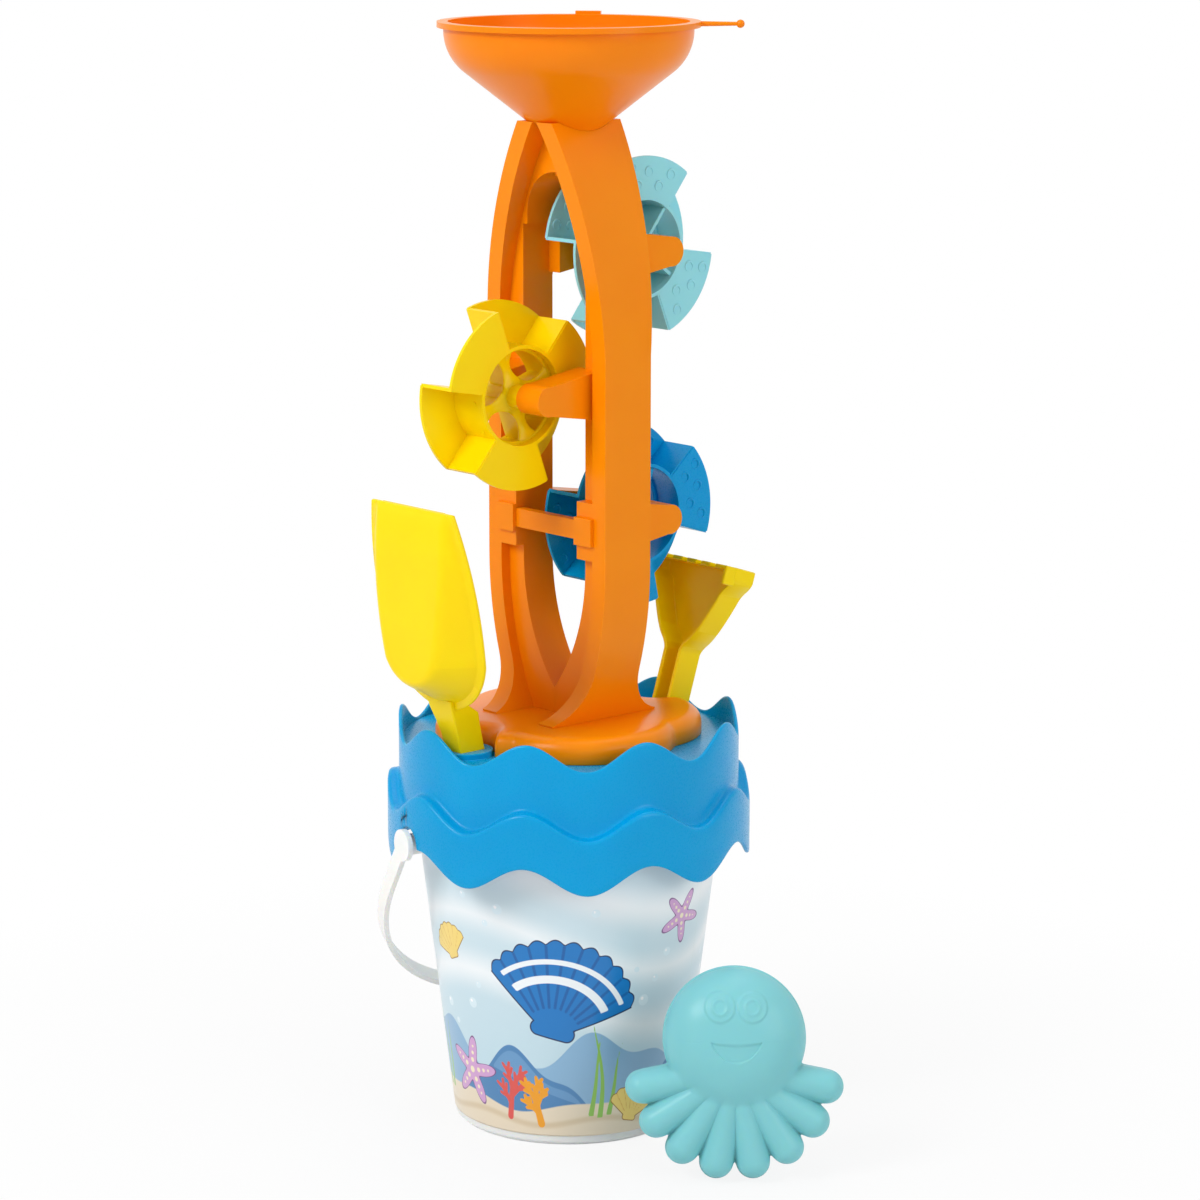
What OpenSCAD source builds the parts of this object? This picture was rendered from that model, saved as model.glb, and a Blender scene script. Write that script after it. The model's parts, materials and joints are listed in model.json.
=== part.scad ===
// Sand mill set: a bucket with a sieve collar that carries a three-wheel sand mill and two hand tools,
// and a sand mould that stands beside it. Millimetres, +Z up, origin in the middle of the bucket's foot.
// The wheel axles run along Y; the front of the mill faces -Y.

/* [Bucket] */
// Outer radius of the bucket at its foot
bucket_foot_r = 54; // [48:1:60]
// Outer radius of the bucket at its mouth
bucket_mouth_r = 76.5; // [72:0.5:80]
// Height of the bucket
bucket_h = 184; // [170:1:200]
// Wall of the bucket
bucket_wall = 1.8; // [1.2:0.1:2.6]
// Thickness of the bucket's floor
bucket_floor = 2.2; // [1.5:0.1:4]
// Bevel round the bucket's foot
foot_bevel = 2; // [1:0.5:3]
// How far the rim stands out from the wall
rim_w = 1.5; // [1:0.1:2]
// Height of the rim
rim_h = 4; // [3:0.5:6]
// Height of the printed film's lower edge
label_low = 5; // [3:0.5:10]
// Height of the printed film's upper edge
label_high = 150; // [145:1:160]
// Thickness of the printed film
label_t = 0.4; // [0.2:0.05:0.6]

/* [Bail handle] */
// Height of the bail's pivots
bail_z = 143; // [138:1:148]
// Direction of the bail's first pivot, from +X towards +Y
bail_a = 168; // [160:1:176]
// Radius of the pivot pegs
peg_r = 2.6; // [2:0.1:3.5]
// Radius of the boss behind each peg
peg_boss_r = 5; // [4.5:0.1:6]
// Width of the strap
strap_w = 8; // [6:0.5:9]
// Thickness of the strap
strap_t = 2.6; // [2:0.1:3.5]
// Radius of the round tab at each end of the strap
tab_r = 7.5; // [6.5:0.5:8]
// Depth of the bail, from the pivots to the inside of its crown
bail_depth = 114; // [108:1:125]

/* [Sieve] */
// Gap between the bucket's rim and the sieve's band
rim_gap = 0.5; // [0.3:0.1:1]
// Wall of the sieve
sieve_wall = 2; // [1.5:0.1:2.5]
// Thickness of the sieve's floor
sieve_floor = 2; // [1.5:0.1:3]
// How far the skirt stands out from the band
skirt_step = 5.5; // [4:0.5:7]
// Number of waves round the edge
wave_n = 9; // [7:1:11]
// Direction of a valley of the waves
wave_a = 35; // [0:1:40]
// Height of the waves, valley to crest
wave_h = 12; // [8:0.5:14]
// Mid height of the top edge above the sieve's floor
top_edge_h = 7; // [6.5:0.5:10]
// Mid height of the shoulder below the sieve's floor
shoulder_drop = 24; // [22:0.5:28]
// Mid height of the hem below the sieve's floor
hem_drop = 50; // [46:0.5:54]
// Radius of the sieve holes
hole_r = 3; // [2:0.1:4]
// Distance of the tool sockets from the axis
socket_x = 63; // [61:0.5:64]
// Outer radius of the raised ring round a socket
socket_r = 12.5; // [12:0.5:13]
// Height of the raised ring
socket_h = 3; // [2:0.5:4]

/* [Mill frame] */
// Radius of the round lobes of the base
lobe_r = 44; // [42:1:45]
// Distance of the lobes from the axis
lobe_reach = 20; // [18:1:21]
// Turn of the base's lobes
lobe_a = 67; // [45:1:80]
// Height of the base
base_h = 12; // [9:0.5:16]
// Bevel of the base's upper edge
base_round = 5; // [3:0.5:7]
// Wall of the base
base_wall = 2.4; // [1.6:0.1:3]
// Distance of a leg's outer face from the axis at the foot
leg_foot_reach = 25; // [22:0.5:28]
// Distance of a leg's outer face from the axis at mid height
leg_reach = 41.5; // [40:0.5:46]
// Distance of a leg's outer face from the axis at the top
leg_top_reach = 12; // [10:0.5:14]
// Height of the curved lower stretch of a leg
leg_lower_h = 72; // [66:1:78]
// Height of the straight stretch of a leg
leg_straight_h = 100; // [95:1:106]
// Height of the curved upper stretch of a leg
leg_upper_h = 106; // [102:1:112]
// Width of a leg's outer band at mid height
band_w = 28; // [24:0.5:32]
// Width of a leg's outer band at the top
band_top_w = 42; // [36:0.5:46]
// Depth of a leg's outer band
band_depth = 9; // [7:0.5:10]
// Width of the rail along a leg's inner side
rail_w = 18; // [14:0.5:20]
// Distance of the rail's inner face from the axis
rail_reach = 22; // [20.5:0.5:23]
// Radius of the sweep at a leg's foot
foot_sweep_r = 24; // [18:1:28]
// Height of the arms' roots
arm_root_h = 23; // [20:0.5:24]
// Radius of the arms' round ends
arm_r = 7; // [6.5:0.5:8]
// Distance of the arms' outer faces from the axis
arm_out = 30; // [28:0.5:31]
// Width of the tie bar
tie_w = 5; // [4:0.5:6]
// Height of the tie bar
tie_h = 9; // [7:0.5:10]

/* [Wheels] */
// Radius of the wheels
wheel_r = 43; // [40:0.5:44]
// Radius of a wheel's drum
drum_r = 24; // [20:0.5:27]
// Length of a wheel's drum
drum_l = 22; // [18:0.5:23]
// Wall of a wheel
wheel_wall = 1.6; // [1.2:0.1:2.2]
// Distance of the wheel axles from the middle plane
wheel_x = 37.5; // [36:0.5:39]
// Height of the lowest axle above the base
lower_wheel_h = 91; // [88:1:94]
// Height from one axle to the next
wheel_pitch = 63; // [61:0.5:65]
// Radius of the axles
axle_r = 3; // [2.5:0.1:3.5]
// Radius of a wheel's hub
hub_r = 5.5; // [5:0.1:6.5]
// Radius of the round holes in a wheel's web
web_hole_r = 6.6; // [5:0.1:7]

/* [Funnel] */
// Radius of the funnel's bowl
bowl_r = 57.5; // [50:0.5:62]
// Radius of the bowl's round bottom corner
bowl_round = 24; // [18:0.5:28]
// Slope of the funnel's cone above the level
cone_slope = 38; // [36:0.5:41]
// Height of the funnel's rim above the tops of the legs
funnel_lift = 45; // [44:0.5:50]
// Height of the bowl's straight edge
bowl_edge_h = 4; // [3:0.5:6]
// How far the lip stands out from the bowl
lip_w = 3; // [2:0.5:4]
// Thickness of the lip
lip_h = 2.6; // [2:0.1:4]
// Wall of the funnel
funnel_wall = 2; // [1.5:0.1:2.5]
// Outer radius of the spout
spout_r = 6.5; // [6:0.5:8]
// Radius of the opening under the arch
arch_r = 19; // [17:0.5:20]
// Length of the peg on the funnel's rim
rim_peg_l = 18; // [12:1:22]

/* [Tools] */
// How far the shovel leans outwards, in degrees
shovel_lean = 14; // [12:0.5:16]
// How far the rake leans outwards, in degrees
rake_lean = 18; // [17:0.5:19]
// Width of a tool's handle
handle_w = 12; // [11:0.5:13]
// Depth of a tool's handle
handle_d = 14; // [12:0.5:14.5]
// Wall of a tool
tool_wall = 2; // [1.5:0.1:2.5]
// Length of a handle below the sieve's floor
handle_low = 42; // [30:1:50]
// Length of the shovel's handle above the sieve's floor
shovel_neck = 26; // [22:1:34]
// Length of the shovel's blade
blade_l = 98; // [88:1:104]
// Width of the shovel's blade
blade_w = 72; // [62:1:78]
// Width of the blade's straight front edge
blade_edge_w = 58; // [50:1:60]
// Width of the scoop's floor at the handle
heel_w = 30; // [26:1:34]
// Depth of the shovel's blade
blade_d = 17; // [14:0.5:18]
// Depth of the scoop at its tip
blade_tip_d = 4; // [3:0.5:6]
// Length of the rake's handle above the sieve's floor
rake_neck = 34; // [30:1:35]
// Length of the rake's shoulder
rake_shoulder = 30; // [26:1:34]
// Width of the rake's head
rake_w = 60; // [52:1:66]
// Height of the rake's head
rake_head_h = 12; // [9:0.5:14]
// Number of the rake's tines
tine_n = 6; // [4:1:7]
// Length of the tines
tine_l = 6; // [4:0.5:6.5]

/* [Mould] */
// Radius of the octopus mould's head
head_r = 33; // [30:0.5:36]
// Depth of the mould
mould_d = 26; // [20:0.5:32]
// Wall of the mould
mould_wall = 2; // [1.5:0.1:2.5]
// Radius of the arms' round ends
feeler_r = 8; // [6.5:0.5:8]
// Depth of the arms
feeler_h = 13; // [10:0.5:15]
// Distance of the arms' round ends from the middle of the skirt
feeler_reach = 43; // [40:0.5:45]
// How far the mould leans back, in degrees
mould_lean = 15; // [8:1:20]
// Direction that the mould faces, from -Y towards +X
mould_turn = -41; // [-60:1:-20]
// Place of the mould along X
mould_x = -7; // [-20:1:10]
// Place of the mould along Y
mould_y = -124; // [-140:1:-122]

/* [Hidden] */
$fn = 64;
// Gap between pieces that pass each other
clear = 0.3;
// Gap between the legs, the funnel and the pins that are pushed into them
push_gap = 0.08;
// Gap between a wheel's hub and its axle
run_gap = 0.05;
// Overrun of every cut
over = 1;

sieve_z = bucket_h + sieve_floor;
base_z = sieve_z;
foot_z = base_z + base_h;
bend_low_z = foot_z + leg_lower_h;
bend_high_z = bend_low_z + leg_straight_h;
leg_top_z = bend_high_z + leg_upper_h;
rim_r = bucket_mouth_r + rim_w;
band_in_r = rim_r + rim_gap;
band_r = band_in_r + sieve_wall;
skirt_r = band_r + skirt_step;
bail_in_r = skirt_r + 2 * clear;
bail_out_r = bail_in_r + strap_t;
lower_z = foot_z + lower_wheel_h;
middle_z = lower_z + wheel_pitch;
upper_z = middle_z + wheel_pitch;
funnel_z = leg_top_z + funnel_lift;

// Radius of an arc that is upright at one end and moves inwards by a drop over a height
function sweep_radius(height, drop) = (height * height + drop * drop) / (2 * drop);
// Outer radius of the bucket at a height
function bucket_r(z) = bucket_foot_r + (bucket_mouth_r - bucket_foot_r) * z / bucket_h;

low_sweep_r = sweep_radius(leg_lower_h, leg_reach - leg_foot_reach);
high_sweep_r = sweep_radius(leg_upper_h, leg_reach - leg_top_reach);

// Lays a flat outline, drawn as distance to the front and height, upright and gives it a width along X
module side_plate(width) {
    rotate([0, 0, -90]) rotate([90, 0, 0]) linear_extrude(height = width, center = true) children();
}

// Lays a flat outline, drawn as X and height, upright and gives it a depth to the front
module front_plate(start, end) {
    rotate([90, 0, 0]) translate([0, 0, start]) linear_extrude(height = end - start) children();
}

// Bucket: a tapered pail with a rim, and with pegs for the bail
peg_end_r = bail_out_r - strap_t / 3;
boss_end_r = bail_in_r - clear;

module bucket() {
    color("white") {
        rotate_extrude() polygon([
            [0, 0],
            [bucket_foot_r - foot_bevel, 0],
            [bucket_r(foot_bevel), foot_bevel],
            [bucket_r(bucket_h - rim_h), bucket_h - rim_h],
            [rim_r, bucket_h - rim_h],
            [rim_r, bucket_h],
            [bucket_mouth_r - bucket_wall, bucket_h],
            [bucket_r(bucket_floor) - bucket_wall, bucket_floor],
            [0, bucket_floor]
        ]);
        for (turn = [0, 180])
            rotate([0, 0, bail_a + turn]) translate([bucket_r(bail_z) - bucket_wall, 0, bail_z])
                rotate([0, 90, 0]) {
                    cylinder(r = peg_boss_r, h = boss_end_r - bucket_r(bail_z) + bucket_wall);
                    cylinder(r = peg_r, h = peg_end_r - bucket_r(bail_z) + bucket_wall);
                }
    }
}

// Printed film: a thin cone laid on the bucket's wall, open round the pegs
module bucket_label() {
    color("lightblue") difference() {
        rotate_extrude() polygon([
            [bucket_r(label_low) + push_gap, label_low],
            [bucket_r(label_low) + label_t, label_low],
            [bucket_r(label_high) + label_t, label_high],
            [bucket_r(label_high) + push_gap, label_high]
        ]);
        for (turn = [0, 180])
            rotate([0, 0, bail_a + turn]) translate([0, 0, bail_z]) rotate([0, 90, 0])
                cylinder(r = peg_boss_r + clear, h = skirt_r);
    }
}

// Bail: a flat strap bent to a deep U, which hangs against the back of the bucket
bail_mid_r = (bail_in_r + bail_out_r) / 2;
bail_straight = bail_depth - bail_in_r;
bail_hang = acos((bucket_r(bail_z / 3) + strap_w / 2 + label_t + clear) / bail_depth);

module bail_outline(r) {
    translate([0, bail_straight]) intersection() {
        circle(r = r);
        translate([-r, 0]) square([2 * r, r]);
    }
    translate([-r, 0]) square([2 * r, bail_straight]);
}

module bail_handle() {
    color("white") rotate([0, 0, bail_a]) translate([0, 0, bail_z]) rotate([bail_hang, 0, 0])
        difference() {
            union() {
                translate([0, 0, -strap_w / 2]) linear_extrude(height = strap_w) mirror([0, 1]) difference() {
                    bail_outline(bail_out_r);
                    bail_outline(bail_in_r);
                }
                for (side = [-1, 1])
                    translate([side * bail_mid_r, 0, 0]) rotate([0, 90, 0])
                        cylinder(r = tab_r, h = strap_t, center = true);
            }
            rotate([0, 90, 0]) cylinder(r = peg_r + run_gap, h = 2 * (peg_end_r + run_gap), center = true);
        }
}

// A wavy edge is made of round rods that point at the axis: one set swells the crests, the other hollows the
// valleys. The crest rods are a little wider, so that the two sets cross at an angle.
wave_step = 360 / wave_n;
crest_share = 1.15;

module wave_rods(r, rod_r, rod_z, turn) {
    reach = skirt_step + 3 * sieve_wall;
    for (k = [0 : wave_n - 1])
        rotate([0, 0, wave_a + turn + k * wave_step]) translate([r - reach, 0, rod_z]) rotate([0, 90, 0])
            cylinder(r = rod_r, h = 2 * reach);
}

function wave_rod_r(r) = sweep_radius(r * tan(wave_step / 2) / 2, wave_h / 2);

// A ring whose upper edge is wavy
module wavy_top(outer, inner, low_z, mid_z) {
    hollow_r = wave_rod_r(outer);
    swell_r = crest_share * hollow_r;
    difference() {
        union() {
            ring(outer, inner, low_z, mid_z - wave_h / 6);
            intersection() {
                ring(outer, inner, low_z, mid_z + wave_h);
                wave_rods(outer, swell_r, mid_z + wave_h / 2 - swell_r, wave_step / 2);
            }
        }
        wave_rods(outer, hollow_r, mid_z - wave_h / 2 + hollow_r, 0);
    }
}

// A ring whose lower edge is wavy
module wavy_hem(outer, inner, high_z, mid_z) {
    hollow_r = wave_rod_r(outer);
    swell_r = crest_share * hollow_r;
    difference() {
        union() {
            ring(outer, inner, mid_z + wave_h / 6, high_z);
            intersection() {
                ring(outer, inner, mid_z - wave_h, high_z);
                wave_rods(outer, swell_r, mid_z - wave_h / 2 + swell_r, 0);
            }
        }
        wave_rods(outer, hollow_r, mid_z + wave_h / 2 - hollow_r, wave_step / 2);
    }
}

// Sieve: a collar with a wavy band, a wavy skirt, a pierced floor and two tool sockets
top_mid_z = sieve_z + top_edge_h;
shoulder_mid_z = sieve_z - shoulder_drop;
hem_mid_z = sieve_z - hem_drop;
ledge_z = shoulder_mid_z - wave_h / 2 - sieve_wall;
notch_r = tab_r + 2 * clear;
hole_reach = socket_x / 4;

module ring(outer, inner, low_z, high_z) {
    translate([0, 0, low_z]) difference() {
        cylinder(r = outer, h = high_z - low_z);
        translate([0, 0, -over]) cylinder(r = inner, h = high_z - low_z + 2 * over);
    }
}

module tool_place(side) {
    lean = side < 0 ? shovel_lean : rake_lean;
    translate([side * socket_x, 0, sieve_z]) rotate([0, side * lean, 0]) children();
}

module sieve() {
    color("deepskyblue") {
        wavy_top(band_r, band_in_r, ledge_z, top_mid_z);
        wavy_top(skirt_r, band_r - sieve_wall / 2, ledge_z, shoulder_mid_z);
        difference() {
            wavy_hem(skirt_r, skirt_r - sieve_wall, ledge_z + sieve_wall / 2, hem_mid_z);
            for (turn = [0, 180])
                rotate([0, 0, bail_a + turn]) translate([0, 0, bail_z]) rotate([90, 0, 90]) {
                    cylinder(r = notch_r, h = 2 * skirt_r);
                    translate([-notch_r, -bail_z, 0]) cube([2 * notch_r, bail_z, 2 * skirt_r]);
                }
        }
        difference() {
            union() {
                translate([0, 0, bucket_h]) cylinder(r = band_in_r + sieve_wall / 2, h = sieve_floor);
                for (side = [-1, 1])
                    translate([side * socket_x, 0, bucket_h]) cylinder(r = socket_r, h = sieve_floor + socket_h);
            }
            for (side = [-1, 1])
                tool_place(side) cube([handle_d + 2 * clear, handle_w + 2 * clear, 2 * handle_low], center = true);
            for (k = [0 : 4])
                rotate([0, 0, 72 * k]) translate([hole_reach, 0, bucket_h - over])
                    cylinder(r = hole_r, h = sieve_floor + 2 * over);
            for (k = [0 : 9])
                rotate([0, 0, 18 + 36 * k]) translate([2 * hole_reach, 0, bucket_h - over])
                    cylinder(r = hole_r, h = sieve_floor + 2 * over);
        }
    }
}

// Mill base: a low shell with four round lobes and a bay for each tool's socket
bay_r = socket_r + 4 * clear;

module round_disc(r, h, edge) {
    rotate_extrude() {
        square([r - edge, h]);
        square([r, h - edge]);
        translate([r - edge, h - edge]) intersection() {
            circle(r = edge);
            square(edge);
        }
    }
}

module bevel_disc(r, h, edge) {
    cylinder(r = r, h = h - edge);
    translate([0, 0, h - edge]) cylinder(r1 = r, r2 = r - edge, h = edge);
}

module lobes() {
    for (k = [0 : 3])
        rotate([0, 0, lobe_a + 90 * k]) translate([lobe_reach, 0, 0]) children();
}

module at_sockets() {
    for (side = [-1, 1])
        translate([side * socket_x, 0, 0]) children();
}

module mill_base() {
    color("darkorange") translate([0, 0, base_z]) difference() {
        lobes() bevel_disc(lobe_r, base_h, base_round);
        at_sockets() translate([0, 0, -over]) cylinder(r = bay_r, h = base_h + 2 * over);
        translate([0, 0, -over]) linear_extrude(height = over + base_h - base_wall - base_round) difference() {
            lobes() circle(r = lobe_r - base_wall);
            at_sockets() circle(r = bay_r + base_wall);
        }
    }
}

// Leg: a bowed band with a narrower rail along its inner side, and arms that carry the wheels
rail_low_sweep_r = sweep_radius(leg_lower_h - base_h, rail_reach);
rail_top_z = upper_z + arm_root_h / 2 + 2 * clear;
foot_half = band_w / 2 + foot_sweep_r * 3 / 4;
leg_wide = 4 * foot_half;

module bowed_area(inset) {
    translate([0, foot_z]) intersection() {
        translate([leg_reach - low_sweep_r, leg_lower_h]) circle(r = low_sweep_r - inset, $fn = 256);
        square([leg_reach, leg_lower_h]);
    }
    translate([0, bend_low_z]) square([leg_reach - inset, leg_straight_h]);
    translate([0, bend_high_z]) intersection() {
        translate([leg_reach - high_sweep_r, 0]) circle(r = high_sweep_r - inset, $fn = 256);
        square([leg_reach, leg_upper_h]);
    }
}

module band_outline() {
    polygon([
        [-band_w / 2, foot_z],
        [-band_w / 2, bend_high_z],
        [-band_top_w / 2, leg_top_z],
        [band_top_w / 2, leg_top_z],
        [band_w / 2, bend_high_z],
        [band_w / 2, foot_z]
    ]);
    difference() {
        translate([-foot_half, foot_z]) square([2 * foot_half, foot_sweep_r]);
        for (side = [-1, 1])
            translate([side * (band_w / 2 + foot_sweep_r), foot_z + foot_sweep_r]) circle(r = foot_sweep_r);
    }
}

module rail_area() {
    difference() {
        bowed_area(band_depth - over);
        translate([0, bend_low_z]) square([rail_reach, leg_straight_h + leg_upper_h]);
        translate([0, foot_z + base_h]) intersection() {
            translate([rail_reach - rail_low_sweep_r, leg_lower_h - base_h]) circle(r = rail_low_sweep_r, $fn = 256);
            square([rail_reach, leg_lower_h - base_h]);
        }
        translate([0, rail_top_z]) square([leg_reach, leg_top_z]);
    }
}

hub_half = drum_l / 2 + 2 * wheel_wall;
arm_in = hub_half + clear;
axle_half = arm_in + (arm_out - arm_in) / 2;

module arm(side, z) {
    root_x = rail_w / 2 - tool_wall;
    front_plate(arm_in, arm_out) {
        translate([side * wheel_x, z]) circle(r = arm_r);
        polygon([
            [side * root_x, z - arm_root_h / 2],
            [side * wheel_x, z - arm_r + clear],
            [side * wheel_x, z + arm_r - clear],
            [side * root_x, z + arm_root_h / 2]
        ]);
    }
}

module axle_bore(side, z) {
    translate([side * wheel_x, 0, z]) rotate([90, 0, 0]) cylinder(r = axle_r + push_gap, h = axle_half + push_gap);
}

// The tie bar plugs into a stepped boss on each rail
boss_wall = 2;
boss_x = -rail_w / 2 - tie_w - boss_wall;
tie_x = -rail_w / 2 - tie_w / 2;
tie_end = rail_reach + band_depth / 2;

module tie_boss() {
    front_plate(rail_reach - clear, leg_reach - band_depth + over) {
        translate([boss_x, lower_z - tie_h / 2 - boss_wall])
            square([tie_w + 2 * boss_wall, tie_h + 2 * boss_wall]);
        translate([boss_x + boss_wall, lower_z - arm_root_h / 2 - boss_wall])
            square([tie_w + boss_wall, arm_root_h + 2 * boss_wall]);
    }
}

module tie_solid(gap) {
    translate([tie_x, 0, lower_z])
        cube([tie_w + 2 * gap, 2 * (tie_end + gap), tie_h + 2 * gap], center = true);
}

module funnel_shape(inset, low_z) {
    corner = [bowl_r - bowl_round, funnel_z - bowl_edge_h];
    bend = corner + (bowl_round - inset) * [sin(cone_slope), -cos(cone_slope)];
    neck_r = spout_r - inset;
    rotate_extrude() {
        translate([0, corner[1]]) square([bowl_r - inset, bowl_edge_h + max(inset, 0)]);
        translate(corner) intersection() {
            circle(r = bowl_round - inset);
            translate([0, -bowl_round]) square([bowl_round, bowl_round]);
        }
        polygon([
            [0, corner[1]],
            corner,
            bend,
            [neck_r, bend[1] - (bend[0] - neck_r) * tan(cone_slope)],
            [neck_r, low_z],
            [0, low_z]
        ]);
    }
}

module leg() {
    difference() {
        union() {
            intersection() {
                side_plate(leg_wide) difference() {
                    bowed_area(0);
                    bowed_area(band_depth);
                }
                front_plate(0, leg_reach + over) band_outline();
            }
            side_plate(rail_w) rail_area();
            arm(1, upper_z);
            arm(-1, middle_z);
            arm(1, lower_z);
            tie_boss();
        }
        axle_bore(1, upper_z);
        axle_bore(-1, middle_z);
        axle_bore(1, lower_z);
        tie_solid(push_gap);
        funnel_shape(-push_gap, rail_top_z);
        translate([-leg_wide / 2, 0, foot_z - over]) cube([leg_wide, leg_reach, leg_top_z]);
    }
}

module front_leg() {
    color("darkorange") leg();
}

module back_leg() {
    color("darkorange") mirror([0, 1, 0]) leg();
}

module tie_bar() {
    color("darkorange") tie_solid(0);
}

// Funnel: a bowl with a cone and a spout, seated in an arch whose tongues slip between the legs
arch_w = rail_w;
arch_spring_z = upper_z + arch_r - 2 * clear;
spout_z = arch_spring_z + arch_r - funnel_wall;

module arch_area() {
    difference() {
        intersection() {
            bowed_area(band_depth + push_gap);
            translate([0, rail_top_z]) square([leg_reach, leg_top_z - rail_top_z]);
        }
        translate([0, rail_top_z - over]) square([arch_r, arch_spring_z - rail_top_z + over]);
        translate([0, arch_spring_z]) circle(r = arch_r);
    }
}

lip_z = funnel_z - lip_h;
rim_peg_r = lip_h / 2;
rim_peg_a = -41;
rim_tab_a = 40;
rim_tab_w = lip_w * 4;

module funnel() {
    color("darkorange") difference() {
        union() {
            funnel_shape(0, spout_z);
            translate([0, 0, lip_z]) cylinder(r = bowl_r + lip_w, h = lip_h);
            rotate([0, 0, rim_peg_a]) translate([bowl_r, 0, lip_z + rim_peg_r]) rotate([0, 90, 0]) {
                cylinder(r1 = rim_peg_r, r2 = rim_peg_r * 2 / 3, h = lip_w + rim_peg_l);
                translate([0, 0, lip_w + rim_peg_l]) sphere(r = rim_peg_r * 3 / 2);
            }
            rotate([0, 0, rim_tab_a]) translate([bowl_r, -rim_tab_w / 2, lip_z])
                cube([lip_w, rim_tab_w, lip_h + lip_w / 2]);
        }
        funnel_shape(funnel_wall, spout_z - over);
        translate([0, 0, funnel_z - over]) cylinder(r = bowl_r - funnel_wall, h = over + lip_w);
    }
}

module funnel_arch() {
    color("darkorange") difference() {
        for (flip = [0, 1])
            mirror([0, flip, 0]) side_plate(arch_w) arch_area();
        funnel_shape(-push_gap, spout_z - over);
    }
}

// Wheel: a drum with six plates that stand by turns on its two ends, joined by walls across the drum.
// Modelled with its axle along Z; the smooth side of the web faces +Z.
wheel_web_z = drum_l / 2 - 4 * wheel_wall;
web_hole_reach = (hub_r + drum_r - wheel_wall) / 2;

module wheel_plate(low_z) {
    translate([0, 0, low_z]) rotate([0, 0, -30]) rotate_extrude(angle = 60)
        translate([drum_r - wheel_wall / 2, 0]) square([wheel_r - drum_r + wheel_wall / 2, wheel_wall]);
}

module wheel_body() {
    difference() {
        union() {
            ring(drum_r, drum_r - wheel_wall, -drum_l / 2, drum_l / 2);
            for (k = [0 : 2])
                rotate([0, 0, 120 * k]) {
                    wheel_plate(drum_l / 2 - wheel_wall);
                    rotate([0, 0, 60]) wheel_plate(-drum_l / 2);
                }
            for (k = [0 : 5])
                rotate([0, 0, 30 + 60 * k]) intersection() {
                    translate([drum_r - wheel_wall / 2, -wheel_wall / 2, clear - drum_l / 2])
                        cube([wheel_r, wheel_wall, drum_l - 2 * clear]);
                    cylinder(r = wheel_r - clear, h = drum_l, center = true);
                }
            translate([0, 0, wheel_web_z]) cylinder(r = drum_r - wheel_wall / 2, h = wheel_wall);
            for (k = [0 : 3])
                rotate([0, 0, 90 * k]) translate([hub_r - over, -wheel_wall / 2, wheel_wall - drum_l / 2])
                    cube([drum_r - hub_r + over - wheel_wall / 2, wheel_wall, wheel_web_z + drum_l / 2]);
            cylinder(r = hub_r, h = 2 * hub_half, center = true);
        }
        cylinder(r = axle_r + run_gap, h = 2 * hub_half + 2 * over, center = true);
        for (k = [0 : 3])
            rotate([0, 0, 45 + 90 * k]) translate([web_hole_reach, 0, wheel_web_z - over])
                cylinder(r = web_hole_r, h = wheel_wall + 2 * over);
    }
}

// A wheel on its axle, with the turn of its front plates and the side of the web that faces the front
module wheel_at(side, z, turn, smooth) {
    translate([side * wheel_x, 0, z]) rotate([90, 0, 0]) rotate([0, 0, smooth ? turn : turn + 60])
        rotate([smooth ? 0 : 180, 0, 0]) wheel_body();
}

module axle_at(side, z) {
    translate([side * wheel_x, 0, z]) rotate([90, 0, 0]) cylinder(r = axle_r, h = 2 * axle_half, center = true);
}

module upper_wheel() {
    color("paleturquoise") wheel_at(1, upper_z, 82, false);
}

module middle_wheel() {
    color("gold") wheel_at(-1, middle_z, 20, true);
}

module lower_wheel() {
    color("royalblue") wheel_at(1, lower_z, 12, false);
}

module upper_axle() {
    color("darkorange") axle_at(1, upper_z);
}

module middle_axle() {
    color("darkorange") axle_at(-1, middle_z);
}

module lower_axle() {
    color("darkorange") axle_at(1, lower_z);
}

// A tool's handle: a channel that is open to the front of the tool
module tool_handle(high) {
    difference() {
        translate([-handle_d / 2, -handle_w / 2, -handle_low]) cube([handle_d, handle_w, handle_low + high]);
        translate([tool_wall - handle_d / 2, tool_wall - handle_w / 2, -handle_low + tool_wall])
            cube([handle_d, handle_w - 2 * tool_wall, handle_low + high]);
    }
}

// Shovel: a scoop whose sloping floor grows deeper and narrower towards the handle.
// The tool stands along Z and faces +X; the scoop's rim lies just in front of the handle's back wall.
module blade_section(inset) {
    polygon([
        [inset, inset / 2 - heel_w / 2],
        [blade_d + inset, inset / 2 - blade_w / 2],
        [blade_d + inset, blade_w / 2 - inset / 2],
        [inset, heel_w / 2 - inset / 2]
    ]);
}

module blade_floor(inset) {
    polygon([
        [inset, shovel_neck - over],
        [blade_d + over, shovel_neck - over],
        [blade_d + over, shovel_neck + blade_l + inset],
        [blade_d - blade_tip_d + inset, shovel_neck + blade_l + inset]
    ]);
}

module blade_plan(inset) {
    bulge_r = sweep_radius(blade_l / 2, (blade_w - blade_edge_w) / 2);
    heel_r = blade_w / 2 - inset;
    intersection() {
        translate([-blade_w / 2, shovel_neck]) square([blade_w, blade_l + inset]);
        translate([blade_w / 2 - bulge_r, shovel_neck + blade_l / 2]) circle(r = bulge_r - inset, $fn = 256);
        translate([bulge_r - blade_w / 2, shovel_neck + blade_l / 2]) circle(r = bulge_r - inset, $fn = 256);
        union() {
            translate([0, shovel_neck + blade_w / 2]) circle(r = heel_r);
            translate([-blade_w / 2, shovel_neck + blade_w / 2]) square([blade_w, blade_l]);
        }
    }
}

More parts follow.
